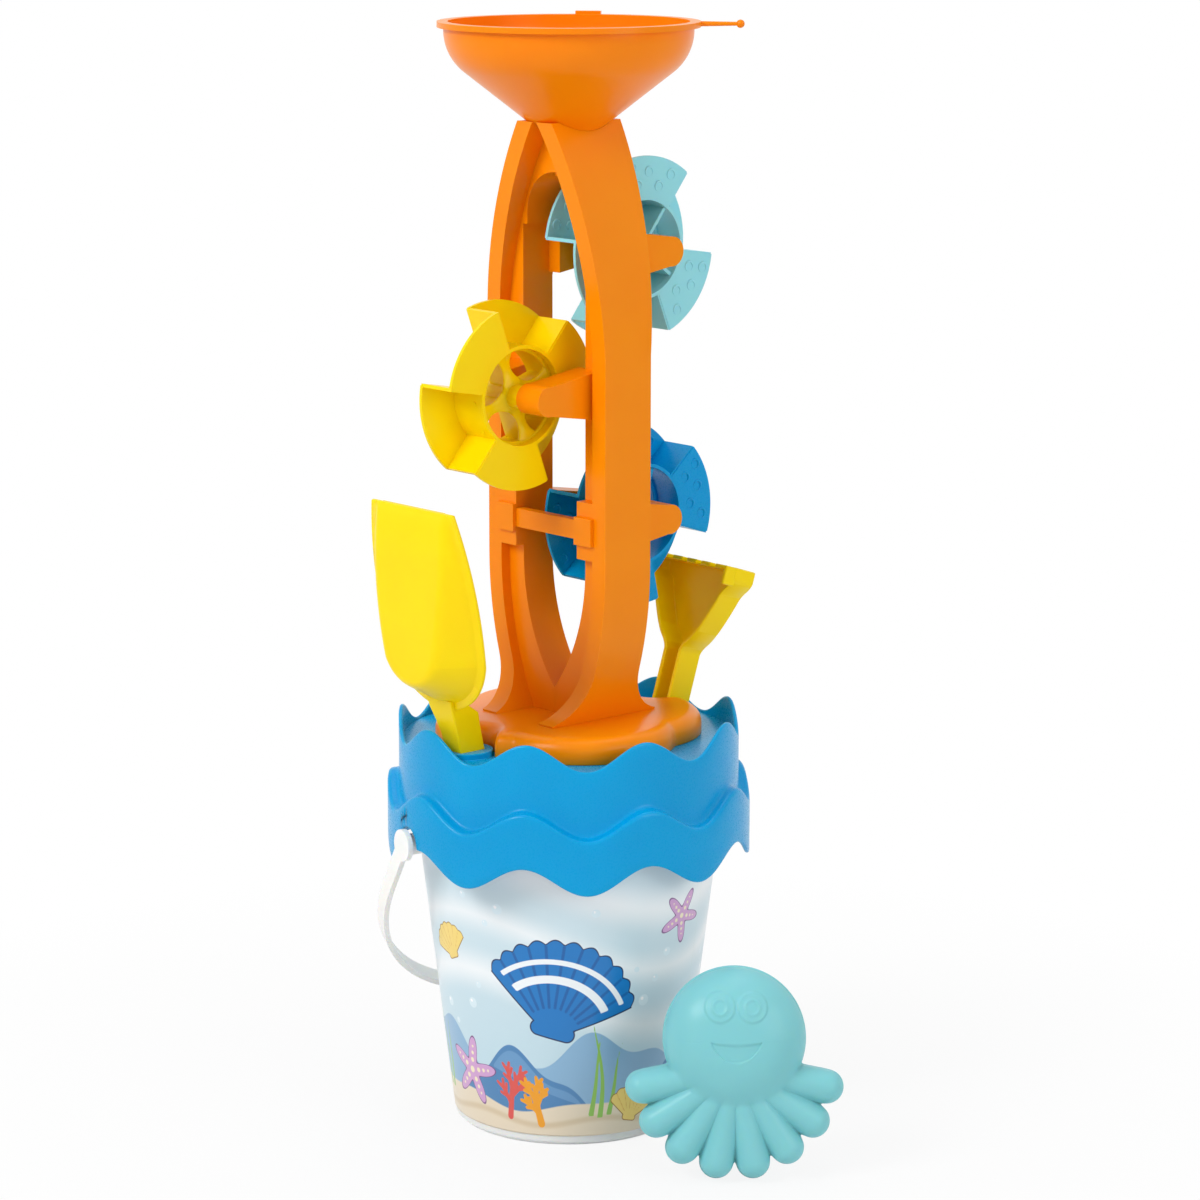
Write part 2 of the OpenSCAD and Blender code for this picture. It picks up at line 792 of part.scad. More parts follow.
module blade_form(inset) {
    intersection() {
        translate([0, 0, shovel_neck]) linear_extrude(height = blade_l + inset) blade_section(inset);
        rotate([90, 0, 0]) linear_extrude(height = 2 * blade_w, center = true) blade_floor(inset);
        rotate([90, 0, 90]) linear_extrude(height = blade_d + inset) blade_plan(inset);
    }
}

module shovel_body() {
    tool_handle(shovel_neck + tool_wall);
    translate([2 * tool_wall - handle_d / 2 - blade_d, 0, 0]) difference() {
        blade_form(0);
        blade_form(tool_wall);
    }
}

module shovel() {
    color("gold") tool_place(-1) shovel_body();
}

// Rake: a shoulder that flares in a curve under a deep head, with a row of tines that point inwards
flare_steps = 8;
flare_power = 0.65;
flare_share = 0.78;

function flare_w(k) = handle_w / 2 + (rake_w - handle_w) / 2 * flare_share * pow(k / flare_steps, flare_power);
function flare_z(k) = rake_neck + rake_shoulder * k / flare_steps;

module rake_plan(inset) {
    head_z = rake_neck + rake_shoulder + rake_head_h / 3;
    top_z = rake_neck + rake_shoulder + rake_head_h - inset;
    right = concat([for (k = [0 : flare_steps]) [flare_w(k) - inset, flare_z(k) - inset / 2]],
                   [[rake_w / 2 - inset, head_z], [rake_w / 2 - inset, top_z]]);
    left = [for (k = [len(right) - 1 : -1 : 0]) [-right[k][0], right[k][1]]];
    polygon(concat(right, left));
}

module rake_body() {
    head_z = rake_neck + rake_shoulder;
    top_z = head_z + rake_head_h;
    tine_pitch = rake_w / tine_n;
    tool_handle(rake_neck + tool_wall);
    translate([-handle_d / 2, 0, 0]) rotate([90, 0, 90]) {
        linear_extrude(height = tool_wall) rake_plan(0);
        linear_extrude(height = handle_d) difference() {
            rake_plan(0);
            rake_plan(tool_wall);
        }
    }
    for (k = [0 : tine_n - 1])
        translate([handle_d / 2 - tool_wall, (k + 0.5 - tine_n / 2) * tine_pitch - tine_pitch / 3, top_z - tool_wall])
            cube([tine_l + tool_wall, tine_pitch * 2 / 3, tool_wall]);
}

module rake() {
    color("gold") tool_place(1) mirror([1, 0, 0]) rake_body();
}

// Octopus mould: a domed head over a low skirt with a fan of eight arms, a shell that is open at the back.
// Modelled with its open back on the XY plane and its head towards +Y, then stood up.
feeler_n = 8;
feeler_spread = 158;
feeler_step = feeler_spread / (feeler_n - 1);
skirt_y = feeler_reach * cos(feeler_step / 2) + feeler_r;
skirt_dome_r = feeler_reach * 3 / 5;
skirt_dome_h = mould_d * 2 / 3;

module mould_block(shrink) {
    translate([0, skirt_y + head_r * 3 / 7, 0])
        round_disc(head_r - shrink, mould_d - shrink, mould_d * 3 / 4 - shrink);
    translate([0, skirt_y, 0])
        round_disc(skirt_dome_r - shrink, skirt_dome_h - shrink, skirt_dome_h * 2 / 3 - shrink);
    for (k = [0 : feeler_n - 1])
        translate([0, skirt_y, 0]) rotate([0, 0, 270 - feeler_spread / 2 + k * feeler_step]) {
            translate([skirt_dome_r / 3, shrink - feeler_r, 0])
                cube([feeler_reach - skirt_dome_r / 3, 2 * (feeler_r - shrink), feeler_h - shrink]);
            translate([feeler_reach, 0, 0]) round_disc(feeler_r - shrink, feeler_h - shrink, feeler_r / 2 - shrink);
        }
}

module octopus_mould() {
    color("paleturquoise") translate([mould_x, mould_y, 0]) rotate([0, 0, mould_turn])
        rotate([90 - mould_lean, 0, 0]) difference() {
            mould_block(0);
            translate([0, 0, -over]) mould_block(mould_wall);
        }
}

bucket();
bucket_label();
bail_handle();
sieve();
mill_base();
front_leg();
back_leg();
tie_bar();
funnel();
funnel_arch();
upper_wheel();
middle_wheel();
lower_wheel();
upper_axle();
middle_axle();
lower_axle();
shovel();
rake();
octopus_mould();
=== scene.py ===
import json
import math

import bpy
import numpy as np
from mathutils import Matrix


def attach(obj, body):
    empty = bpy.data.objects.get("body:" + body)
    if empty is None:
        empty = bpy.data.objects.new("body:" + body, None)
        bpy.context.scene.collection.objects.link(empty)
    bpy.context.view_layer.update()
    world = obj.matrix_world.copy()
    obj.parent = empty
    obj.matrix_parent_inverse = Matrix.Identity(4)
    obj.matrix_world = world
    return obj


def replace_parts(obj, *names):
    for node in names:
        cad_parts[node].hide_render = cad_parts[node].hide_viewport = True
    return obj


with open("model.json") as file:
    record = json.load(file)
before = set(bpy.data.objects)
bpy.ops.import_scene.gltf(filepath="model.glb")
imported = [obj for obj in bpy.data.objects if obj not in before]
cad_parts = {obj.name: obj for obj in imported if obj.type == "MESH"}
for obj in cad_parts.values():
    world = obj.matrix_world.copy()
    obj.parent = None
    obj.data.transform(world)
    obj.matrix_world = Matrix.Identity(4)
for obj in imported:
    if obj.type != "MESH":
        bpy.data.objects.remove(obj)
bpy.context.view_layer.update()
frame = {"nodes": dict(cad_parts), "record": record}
nodes = frame["nodes"]
bodyOf = {n: b for b, members in frame["record"]["behaviour"]["bodies"].items() for n in members}
slotOf = {s["node"]: s["material_slot"] for s in frame["record"]["subparts"]}

mm = 0.001


# Colours and finishes: the pigment of each plastic drifts between the two shades of its pair

colours = {
    "orange": ("F98F04", "F78B00"),
    "orangeFunnel": ("F88902", "F68500"),
    "aqua": ("98E0EA", "94DCE6"),
    "mouldAqua": ("84CCD2", "80C8CE"),
    "yellow": ("FFDE00", "FDD900"),
    "toolYellow": ("FFDE00", "FEDA00"),
    "deepBlue": ("009EDE", "0099D8"),
    "collarBlue": ("00A0DA", "009CD6"),
    "white": ("F3F3F1", "F0F0EE"),
    "bail": ("FAF8F5", "F7F5F1"),
}

finishOf = {  # material slot: colour pair, roughness, coat
    "bucket_white": ("white", 0.34, 0.1),
    "bail_white": ("bail", 0.38, 0.06),
    "collar_blue": ("collarBlue", 0.28, 0.1),
    "mill_orange": ("orange", 0.3, 0.08),
    "funnel_orange": ("orangeFunnel", 0.3, 0.08),
    "wheel_aqua": ("aqua", 0.3, 0.08),
    "wheel_yellow": ("yellow", 0.3, 0.08),
    "wheel_blue": ("deepBlue", 0.28, 0.1),
    "tool_yellow": ("toolYellow", 0.3, 0.08),
    "mould_aqua": ("mouldAqua", 0.32, 0.08),
}

plastic = {
    "shader": {"Coat Roughness": 0.18, "IOR": 1.49, "Specular IOR Level": 0.14, "Subsurface Weight": 0.2,
               "Subsurface Radius": (1.0, 0.5, 0.2), "Subsurface Scale": 0.004},
    "drift": {"Scale": 28, "Detail": 2},
    "driftStops": (0.35, 0.65),
    "grain": {"Scale": 1400, "Detail": 3},
    "glossSwing": 0.05,
    "relief": {"Strength": 0.05, "Distance": 0.0002},
}


def linearColour(hexText):  # undoes the sRGB curve on each pair of hex digits
    values = []
    for k in (0, 2, 4):
        c = int(hexText[k:k + 2], 16) / 255
        values.append(c / 12.92 if c <= 0.04045 else ((c + 0.055) / 1.055) ** 2.4)
    return (*values, 1.0)


def newMaterial(name):
    material = bpy.data.materials.new(name)
    material.use_nodes = True
    return material, material.node_tree, material.node_tree.nodes["Principled BSDF"]


def setSockets(node, sockets):
    for name, value in sockets.items():
        node.inputs[name].default_value = value


def addNode(tree, kind, sockets={}, **settings):  # settings come first: they decide the sockets
    node = tree.nodes.new("ShaderNode" + kind)
    for name, value in settings.items():
        setattr(node, name, value)
    setSockets(node, sockets)
    return node


def joinNodes(tree, joins):  # each join: a node, its output, a node, its input
    for source, output, target, socket in joins:
        tree.links.new(source.outputs[output], target.inputs[socket])


def mouldedPlastic(name, pair, roughness, coat):  # slow clouds of pigment, fine grain in gloss and relief
    p = plastic
    material, tree, shader = newMaterial(name)
    setSockets(shader, p["shader"])
    shader.inputs["Coat Weight"].default_value = coat
    place = addNode(tree, "TexCoord")
    cloud = addNode(tree, "TexNoise", p["drift"])
    ramp = addNode(tree, "ValToRGB")
    for k in (0, 1):
        ramp.color_ramp.elements[k].position = p["driftStops"][k]
        ramp.color_ramp.elements[k].color = linearColour(pair[1 - k])
    grain = addNode(tree, "TexNoise", p["grain"])
    swing = p["glossSwing"]
    gloss = addNode(tree, "MapRange", {"To Min": roughness - swing, "To Max": roughness + swing})
    bump = addNode(tree, "Bump", p["relief"])
    joinNodes(tree, [(place, "Object", cloud, "Vector"), (place, "Object", grain, "Vector"),
                     (cloud, "Fac", ramp, "Fac"), (ramp, "Color", shader, "Base Color"),
                     (grain, "Fac", gloss, "Value"), (gloss, "Result", shader, "Roughness"),
                     (grain, "Fac", bump, "Height"), (bump, "Normal", shader, "Normal")])
    return material


# Printed film: each motif is a distance in mm, an attribute of the film, laid over the motifs before it

filmSockets = {"Roughness": 0.3, "Coat Weight": 0.15, "IOR": 1.48}
waterShades = ("BFDCE8", "D6E6EC")  # at the film's lower and upper edge

inks = [  # attribute, colour, strength, width of the soft edge in mm
    ("streaks", "FFFFFF", 0.75, 16.0),
    ("farRocks", "8DB6D6", 1.0, 0.5),
    ("nearRocks", "4F86B8", 1.0, 0.4),
    ("rockLight", "6E9FCB", 0.8, 0.6),
    ("sand", "EADBC2", 1.0, 0.8),
    ("sandShade", "D8C3A0", 0.8, 2.5),
    ("weeds", "8FC355", 1.0, 0.3),
    ("redCoral", "E0574F", 1.0, 0.3),
    ("goldCoral", "F4A21C", 1.0, 0.3),
    ("pinkStarEdge", "7A4E86", 1.0, 0.3),
    ("pinkStar", "D4A3D2", 1.0, 0.3),
    ("pinkDots", "F7EBC8", 1.0, 0.3),
    ("goldShellEdge", "9A6A1E", 1.0, 0.3),
    ("goldShell", "F6D774", 1.0, 0.3),
    ("goldRibs", "E2B24A", 1.0, 0.4),
    ("blueShellEdge", "15305A", 1.0, 0.3),
    ("blueShell", "0F78C2", 1.0, 0.3),
    ("blueRibs", "0A5FA6", 1.0, 0.6),
    ("whiteBands", "F4F8FB", 1.0, 0.4),
    ("bubbles", "DDEEF5", 0.9, 0.4),
    ("bubbleLights", "FFFFFF", 1.0, 0.4),
]


def printedFilm():  # starts from the water and mixes in each ink where its distance is positive
    material, tree, shader = newMaterial("printedFilm")
    setSockets(shader, filmSockets)
    height = addNode(tree, "Attribute", attribute_name="filmHeight")
    under = addNode(tree, "ValToRGB")
    output = "Color"
    for k in (0, 1):
        under.color_ramp.elements[k].color = linearColour(waterShades[k])
    joinNodes(tree, [(height, "Fac", under, "Fac")])
    for attribute, ink, strength, soft in inks:
        source = addNode(tree, "Attribute", attribute_name=attribute)
        edge = addNode(tree, "MapRange", {"From Min": -soft / 2, "From Max": soft / 2, "To Max": strength},
                       interpolation_type="SMOOTHSTEP")
        mix = addNode(tree, "Mix", {"B": linearColour(ink)}, data_type="RGBA")
        joinNodes(tree, [(source, "Fac", edge, "Value"), (edge, "Result", mix, "Factor"),
                         (under, output, mix, "A")])
        under = mix
        output = "Result"
    joinNodes(tree, [(under, output, shader, "Base Color")])
    return material


finishes = {"print_film": printedFilm()}
for slotName, (colourName, roughness, coat) in finishOf.items():
    finishes[slotName] = mouldedPlastic(slotName, colours[colourName], roughness, coat)
print("materials ready")


# Shape helpers

def around(count):  # evenly spaced turns about an axis
    return np.linspace(0, 2 * np.pi, count, endpoint=False)


def folded(angle, step):  # the angle less the nearest whole number of steps
    return (angle + step / 2) % step - step / 2


def turned(a, b, degrees):  # a turn that takes the first axis towards the second
    c = math.cos(math.radians(degrees))
    s = math.sin(math.radians(degrees))
    return a * c - b * s, a * s + b * c


def circleRow(turn, away, height):  # points at a distance from the z axis and at a height
    return np.stack([away * np.cos(turn), away * np.sin(turn), np.broadcast_to(height, turn.shape)], -1)


def smoothed(outline, times):  # every value becomes half of itself and a quarter of each neighbour
    for k in range(times):
        outline = (np.roll(outline, 1) + 2 * outline + np.roll(outline, -1)) / 4
    return outline


def cutCorners(left, right, low, high, cut):  # a rectangle whose corners are cut off
    return [(left + cut, low), (left, low + cut), (left, high - cut), (left + cut, high),
            (right - cut, high), (right, high - cut), (right, low + cut), (right - cut, low)]


# Mesh helpers

def placed(name, data):
    thing = bpy.data.objects.new(name, data)
    bpy.context.scene.collection.objects.link(thing)
    return thing


def meshPiece(name, points, faces, node):  # rides on the node's body and takes the finish of its slot
    body = bodyOf[node]
    slotName = slotOf[node]
    mesh = bpy.data.meshes.new(name)
    mesh.from_pydata(points.tolist(), [], faces)
    mesh.validate()
    mesh.shade_smooth()
    mesh.materials.append(finishes[slotName])
    piece = placed(name, mesh)
    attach(piece, body)
    return piece


def crease(piece, degrees):  # edges that fold more than this stay sharp in the shading
    piece.data.set_sharp_from_angle(angle=math.radians(degrees))


def gridFaces(rows, columns, wrapRows=False, wrapColumns=False):  # four neighbours of the grid make a face
    i = np.arange(rows if wrapRows else rows - 1)
    j = np.arange(columns if wrapColumns else columns - 1)
    i, j = np.meshgrid(i, j, indexing="ij")
    nextI = (i + 1) % rows
    nextJ = (j + 1) % columns
    quads = np.stack([i * columns + j, nextI * columns + j, nextI * columns + nextJ, i * columns + nextJ], -1)
    return quads.reshape(-1, 4)


def barFaces(rows, columns):  # columns run round, and strips across the first and last row close the ends
    faces = gridFaces(rows, columns, False, True).tolist()
    last = (rows - 1) * columns
    for k in range(columns // 2 - 1):
        strip = [k, k + 1, columns - 2 - k, columns - 1 - k]
        faces.append(strip[::-1])
        faces.append([last + corner for corner in strip])
    return faces


def gathered(parts):  # several pairs of points and four-cornered faces as one pair
    points = []
    faces = []
    count = 0
    for partPoints, partFaces in parts:
        faces += (np.array(partFaces) + count).tolist()
        points.append(partPoints)
        count += len(partPoints)
    return np.concatenate(points), faces


def outward(points, faces):  # turns the faces round where their volume comes out negative
    corners = np.array([f if len(f) == 4 else f + f[-1:] for f in faces])
    a, b, c, d = np.moveaxis(points[corners], 1, 0)
    volume = np.einsum("ij,ij->", a, np.cross(b, c)) + np.einsum("ij,ij->", a, np.cross(c, d))
    return faces if volume > 0 else [f[::-1] for f in faces]


def closedPiece(name, grid, node):  # rows and columns both run round
    points = grid.reshape(-1, 3)
    faces = gridFaces(*grid.shape[:2], True, True).tolist()
    return meshPiece(name, points, outward(points, faces), node)


def cappedPiece(name, grid, node):  # columns run round, and each end row closes on one point
    rows, columns = grid.shape[:2]
    points = np.concatenate([grid.reshape(-1, 3), [grid[0].mean(0)], [grid[-1].mean(0)]])
    first = rows * columns
    faces = gridFaces(rows, columns, False, True).tolist()
    for j in range(columns):
        k = (j + 1) % columns
        faces.append([first, j, k])
        faces.append([first + 1, (rows - 1) * columns + k, (rows - 1) * columns + j])
    return meshPiece(name, points, outward(points, faces), node)


# Moulded pieces: the solids' own faces, joined and with rounded edges

softEdges = {  # node: width of the rounded edges in mm
    "bucket": 0.7,
    "bail_handle": 0.8,
    "front_leg": 1.1,
    "back_leg": 1.1,
    "tie_bar": 0.8,
    "funnel": 0.7,
    "funnel_arch": 0.7,
}
rounding = {"angle": 32.0, "segments": 2, "weld": 2e-6}  # folds from this angle; points this near, in m, join


def solidCopy(name, node, keep=None):  # the node's triangles, joined where they meet
    source = nodes[node].data
    points = np.empty(len(source.vertices) * 3, np.float32)
    source.vertices.foreach_get("co", points)
    points = points.reshape(-1, 3).astype(float)
    triangles = np.empty(len(source.loops), np.int32)
    source.loops.foreach_get("vertex_index", triangles)
    triangles = triangles.reshape(-1, 3)
    if keep is not None:
        triangles = triangles[keep(points[triangles] / mm)]
    cells = np.round(points / rounding["weld"]).astype(np.int64)
    firsts, inverse = np.unique(cells, axis=0, return_index=True, return_inverse=True)[1:]
    welded = inverse.reshape(-1)[triangles]
    whole = (welded != np.roll(welded, 1, 1)).all(1)
    return meshPiece(name, points[firsts], welded[whole].tolist(), node)


def softened(node, width, keep=None):  # a copy of the solid, or of the triangles to keep, with rounded edges
    piece = solidCopy(node + "_soft", node, keep)
    crease(piece, rounding["angle"])
    bevel = piece.modifiers.new("edges", "BEVEL")
    bevel.width = width * mm
    bevel.segments = rounding["segments"]
    bevel.limit_method = "ANGLE"
    bevel.angle_limit = math.radians(rounding["angle"])
    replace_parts(piece, node)


for node, width in softEdges.items():
    softened(node, width)
for node in nodes:
    nodes[node].data.materials.clear()
    nodes[node].data.materials.append(finishes[slotOf[node]])
print("moulded pieces ready")


# Collar: one closed profile of radius and height, turned about z; every level follows the same wave

collar = {"inner": 78.5, "band": 80.5, "skirt": 86, "wall": 2, "top": 193, "shoulder": 162,
          "hem": 136, "waves": 9, "crestAngle": 55, "swing": 6, "pegAngle": 168, "pegHeight": 143,
          "notch": 8.1, "shelf": 2.4, "steps": 1080, "softEdge": 0.4, "slack": 0.05,
          "guard": 8, "bandGuard": 7, "hemGuard": 6,  # points that keep the walls flat beside a bend
          "topBend": [(0, -1.2), (0.2, -0.4), (0.65, 0)],  # steps in from a wall, heights over the level
          "hemBend": [(0, 1.1), (0.2, 0.35), (0.65, 0)],
          "innerBend": [(0, 2.6), (0.25, 1.3), (0.9, 0.6), (2, 0.25)],
          "outerBend": [(0, -2.2), (0.25, -1), (0.9, -0.3), (2, 0.05)],
          "underBend": [(0, -3.2), (0.6, -2.4)]}


def bend(radius, way, level, steps):  # a rounded edge, by steps that lead away from a wall
    return [(radius + way * step, level, rise) for step, rise in steps]


def collarProfile():  # radius, level that it follows, height over that level
    c = collar
    inner = c["inner"]
    band = c["band"]
    skirt = c["skirt"]
    hollow = skirt - c["wall"]
    profile = [(inner, "shoulder", -c["shelf"]), (inner, "shoulder", c["guard"]), (inner, "top", -c["guard"])]
    profile += bend(inner, 1, "top", c["topBend"])
    profile += bend(band, -1, "top", c["topBend"])[::-1]
    profile += [(band, "top", -c["guard"]), (band, "shoulder", c["bandGuard"])]
    profile += bend(band, 1, "shoulder", c["innerBend"])
    profile += bend(skirt, -1, "shoulder", c["outerBend"])[::-1]
    profile += [(skirt, "shoulder", -c["guard"]), (skirt, "hem", c["hemGuard"])]
    profile += bend(skirt, -1, "hem", c["hemBend"])
    profile += bend(hollow, 1, "hem", c["hemBend"])[::-1]
    profile += [(hollow, "hem", c["hemGuard"]), (hollow, "shoulder", -c["guard"])]
    profile += bend(hollow, -1, "shoulder", c["underBend"])
    return profile + [(band, "shoulder", -c["shelf"])]


def collarBand():  # the wave is a cosine of the turn, and the hem rises in a half circle over each peg
    c = collar
    turn = around(c["steps"])
    wave = c["swing"] * np.cos(c["waves"] * (turn - math.radians(c["crestAngle"])))
    across = np.radians(np.abs(folded(np.degrees(turn) - c["pegAngle"], 180))) * c["skirt"]
    arch = np.sqrt(np.maximum(c["notch"] ** 2 - across ** 2, 0))
    overPeg = np.where(across < c["notch"], c["pegHeight"] + arch, 0)
    rows = []
    for radius, level, rise in collarProfile():
        height = c[level] + wave
        if level == "hem":
            height = np.maximum(height, overPeg)
        rows.append(circleRow(turn, radius, height + rise))
    piece = closedPiece("collar_band", np.stack(rows) * mm, "sieve")
    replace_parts(piece, "sieve")


def withinCollar(corners):  # the sieve's floor and sockets, which lie inside the band
    away = np.hypot(corners[..., 0], corners[..., 1])
    reach = collar["inner"]
    return (away < reach + collar["slack"]).all(-1) & (away < reach - collar["slack"]).any(-1)


collarBand()
softened("sieve", collar["softEdge"], withinCollar)
print("collar ready")


# Mill base: overlapping circles and a bay for each socket give the outline; rounded rows run up from it

base = {"floor": 186, "height": 12, "lobes": 4, "lobe": 44, "reach": 20, "turn": 67, "round": 7,
        "roundSteps": 10, "wall": 2.4, "edge": 0.4, "socket": 63, "bay": 13.7, "pocket": 4.6,
        "pocketRound": 0.6, "steps": 720, "smoothing": 14, "noBay": 100,
        "roofRings": (0.1, 0.55, 1), "topRings": (0.8, 0.55, 0.3, 0.1)}


def baseOutline(turn):  # the lesser of the nearest lobe's far side and a bay's near side, smoothed
    b = base
    near = np.radians(folded(np.degrees(turn) - b["turn"], 360 / b["lobes"]))
    lobes = b["reach"] * np.cos(near) + np.sqrt(b["lobe"] ** 2 - (b["reach"] * np.sin(near)) ** 2)
    side = np.radians(folded(np.degrees(turn), 180))
    inside = b["bay"] ** 2 - (b["socket"] * np.sin(side)) ** 2
    bays = np.where(inside > 0, b["socket"] * np.cos(side) - np.sqrt(np.maximum(inside, 0)), b["noBay"])
    return smoothed(np.minimum(lobes, bays), b["smoothing"])


def millBase():  # rings go out under the pocket's roof, down its wall, round the foot and over the top
    b = base
    turn = around(b["steps"])
    outline = baseOutline(turn)
    inner = outline - b["wall"]
    e = b["edge"]
    r = b["round"]
    rings = [(share * (inner - b["pocketRound"]), b["pocket"]) for share in b["roofRings"]]
    rings += [(inner, b["pocket"] - b["pocketRound"]), (inner, e), (inner + e, 0)]
    rings += [(outline - e, 0), (outline, e)]
    for a in np.radians(np.linspace(0, 90, b["roundSteps"])):
        rings.append((outline - r * (1 - math.cos(a)), b["height"] - r + r * math.sin(a)))
    rings += [(share * (outline - r), b["height"]) for share in b["topRings"]]
    rows = np.stack([circleRow(turn, away, height) for away, height in rings])
    piece = cappedPiece("mill_base_soft", (rows + np.array([0, 0, b["floor"]])) * mm, "mill_base")
    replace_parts(piece, "mill_base")


millBase()
print("mill base ready")


# Wheels: dished spokes between hub and drum, and small raised bubbles on the same side of every plate

wheels = {  # the turn is that of the front plates; smooth tells which side is in front
    "upper_wheel": {"side": 1, "height": 415, "turn": 82, "smooth": False},
    "middle_wheel": {"side": -1, "height": 352, "turn": 20, "smooth": True},
    "lower_wheel": {"side": 1, "height": 289, "turn": 12, "smooth": False},
}
drum = {"axleReach": 37.5, "plates": 6, "softEdge": 0.45}
web = {"hub": 4.6, "rim": 23.2, "low": 4.6, "high": 6.2, "spokes": 4, "narrow": 5, "middle": 13.5,
       "flare": 0.12, "dish": 1, "edge": 0.4, "proud": 0.1, "ring": 20.9, "collar": 6.6, "ringProud": 0.2,
       "steps": 33, "ringSteps": 120, "crease": 50, "cutFrom": 5.4, "cutTo": 22.6, "slack": 0.1}
bubble = {"radius": 2.3, "wall": 0.34, "swing": 0.3, "thickAt": 0.7, "ringSteps": 22, "wallSteps": 8,
          "levels": (9.4, -11)}  # for the plates by turns
bubbleSpots = [(30, -17), (29.5, 9), (35.5, -4), (37, 18), (38.5, -20)]  # radius in mm, degrees


def wheelPlace(points, wheel):  # from the wheel's own frame, with z along the axle, to the tower
    turn = wheel["turn"]
    if not wheel["smooth"]:
        points = points * np.array([1, -1, -1])
        turn = turn + 360 / drum["plates"]
    x, y = turned(points[..., 0], points[..., 1], turn)
    return np.stack([x + wheel["side"] * drum["axleReach"], -points[..., 2], y + wheel["height"]], -1)


def softWheel(node, wheel):  # the solid wheel without its flat web
    def keep(corners):
        axle = wheel["side"] * drum["axleReach"]
        away = np.hypot(corners[..., 0] - axle, corners[..., 2] - wheel["height"])
        level = -corners[..., 1] if wheel["smooth"] else corners[..., 1]
        flat = (level > web["low"] - web["slack"]) & (level < web["high"] + web["slack"])
        return ~(flat & (away > web["cutFrom"]) & (away < web["cutTo"])).all(-1)

    softened(node, drum["softEdge"], keep)


def wheelSpoke():  # widens by a square of the way from its waist, and sinks by a squared cosine
    w = web
    away = np.linspace(w["hub"], w["rim"], w["steps"])
    half = (w["narrow"] + w["flare"] * (away - w["middle"]) ** 2) / 2
    sunk = w["dish"] * np.cos(np.pi * (away - w["middle"]) / (w["rim"] - w["hub"])) ** 2
    low = w["low"] - sunk
    thick = w["high"] - w["low"] + w["proud"]
    section = cutCorners(-half, half, low, low + thick, w["edge"])
    return np.stack([np.stack([away, y, z], -1) for y, z in section], 1)


def wheelWeb(node, wheel):  # the spokes, a flat ring inside the drum and a collar round the hub
    w = web
    spoke = wheelSpoke()
    parts = []
    for k in range(w["spokes"]):
        x, y = turned(spoke[..., 0], spoke[..., 1], k * 360 / w["spokes"])
        points = np.stack([x, y, spoke[..., 2]], -1)
        parts.append((points.reshape(-1, 3), barFaces(*spoke.shape[:2])))
    turn = around(w["ringSteps"])
    low = w["low"] - w["ringProud"]
    high = w["high"] + w["ringProud"]
    for wide, narrow in ((w["rim"], w["ring"]), (w["collar"], w["hub"])):
        section = cutCorners(narrow, wide, low, high, w["edge"])
        ring = np.stack([circleRow(turn, away, height) for away, height in section])
        parts.append((ring.reshape(-1, 3), gridFaces(*ring.shape[:2], True, True)[:, ::-1]))
    points, faces = gathered(parts)
    points = wheelPlace(points, wheel) * mm
    piece = meshPiece(bodyOf[node] + "_web", points, outward(points, faces), node)
    crease(piece, w["crease"])


def wheelBubbles(node, wheel):  # round rings whose wall swells and thins by a cosine
    b = bubble
    ringTurn, wallTurn = np.meshgrid(around(b["ringSteps"]), around(b["wallSteps"]), indexing="ij")
    thick = b["wall"] + b["swing"] * np.cos(ringTurn - b["thickAt"])
    ring = circleRow(ringTurn, b["radius"] + thick * np.cos(wallTurn), thick * np.sin(wallTurn))
    parts = []
    for k in range(drum["plates"]):
        level = b["levels"][k % 2]
        for radius, angle in bubbleSpots:
            spot = math.radians(k * 360 / drum["plates"] + angle)
            shift = np.array([radius * math.cos(spot), radius * math.sin(spot), level])
            parts.append((ring.reshape(-1, 3) + shift, gridFaces(*ring.shape[:2], True, True)))
    points, faces = gathered(parts)
    points = wheelPlace(points, wheel) * mm
    meshPiece(bodyOf[node] + "_bubbles", points, outward(points, faces), node)


for node, wheel in wheels.items():
    softWheel(node, wheel)
    wheelWeb(node, wheel)
    wheelBubbles(node, wheel)
print("wheels ready")


# Octopus mould: a polar grid about the fan of arms; the height is the larger of a dome and the rounded arms

octopus = {"place": (-7, -124), "turn": -41, "lean": 15, "fanHeight": 50.17, "depth": 26, "wall": 2,
           "thinnest": 0.6, "arms": 8, "spread": 158, "down": 270, "reach": 43, "armRadius": 8,
           "armBase": 4, "armHeight": 9, "armTaper": 0.45, "headRadius": 33, "headRise": 14.14,
           "headBase": 5, "headPower": 2.4, "blend": 3, "steps": 600, "smoothing": 3, "flange": 0.9,
           "hollow": 2.6, "outerRings": 96, "innerRings": 36, "ringPower": 1.35,
           "rim": [(0.8, 1.5), (0.3, 1.3), (0, 1), (0, 0)],  # in from the outline, height
           "eyes": 7.4, "eyeHeight": 79, "eyeFlat": 0.96, "eyeRadius": 7.3, "eyeEdge": 1, "eyeRise": 0.6,
           "pupil": 3.3, "pupilWidth": 0.75, "pupilRise": 0.5,
           "mouth": 11.5, "mouthHeight": 63, "upperLip": 1.2, "lowerLip": 9.4, "lipPower": 0.7,
           "mouthDepth": 0.8, "mouthEdge": 0.8, "mouthOver": 0.2}


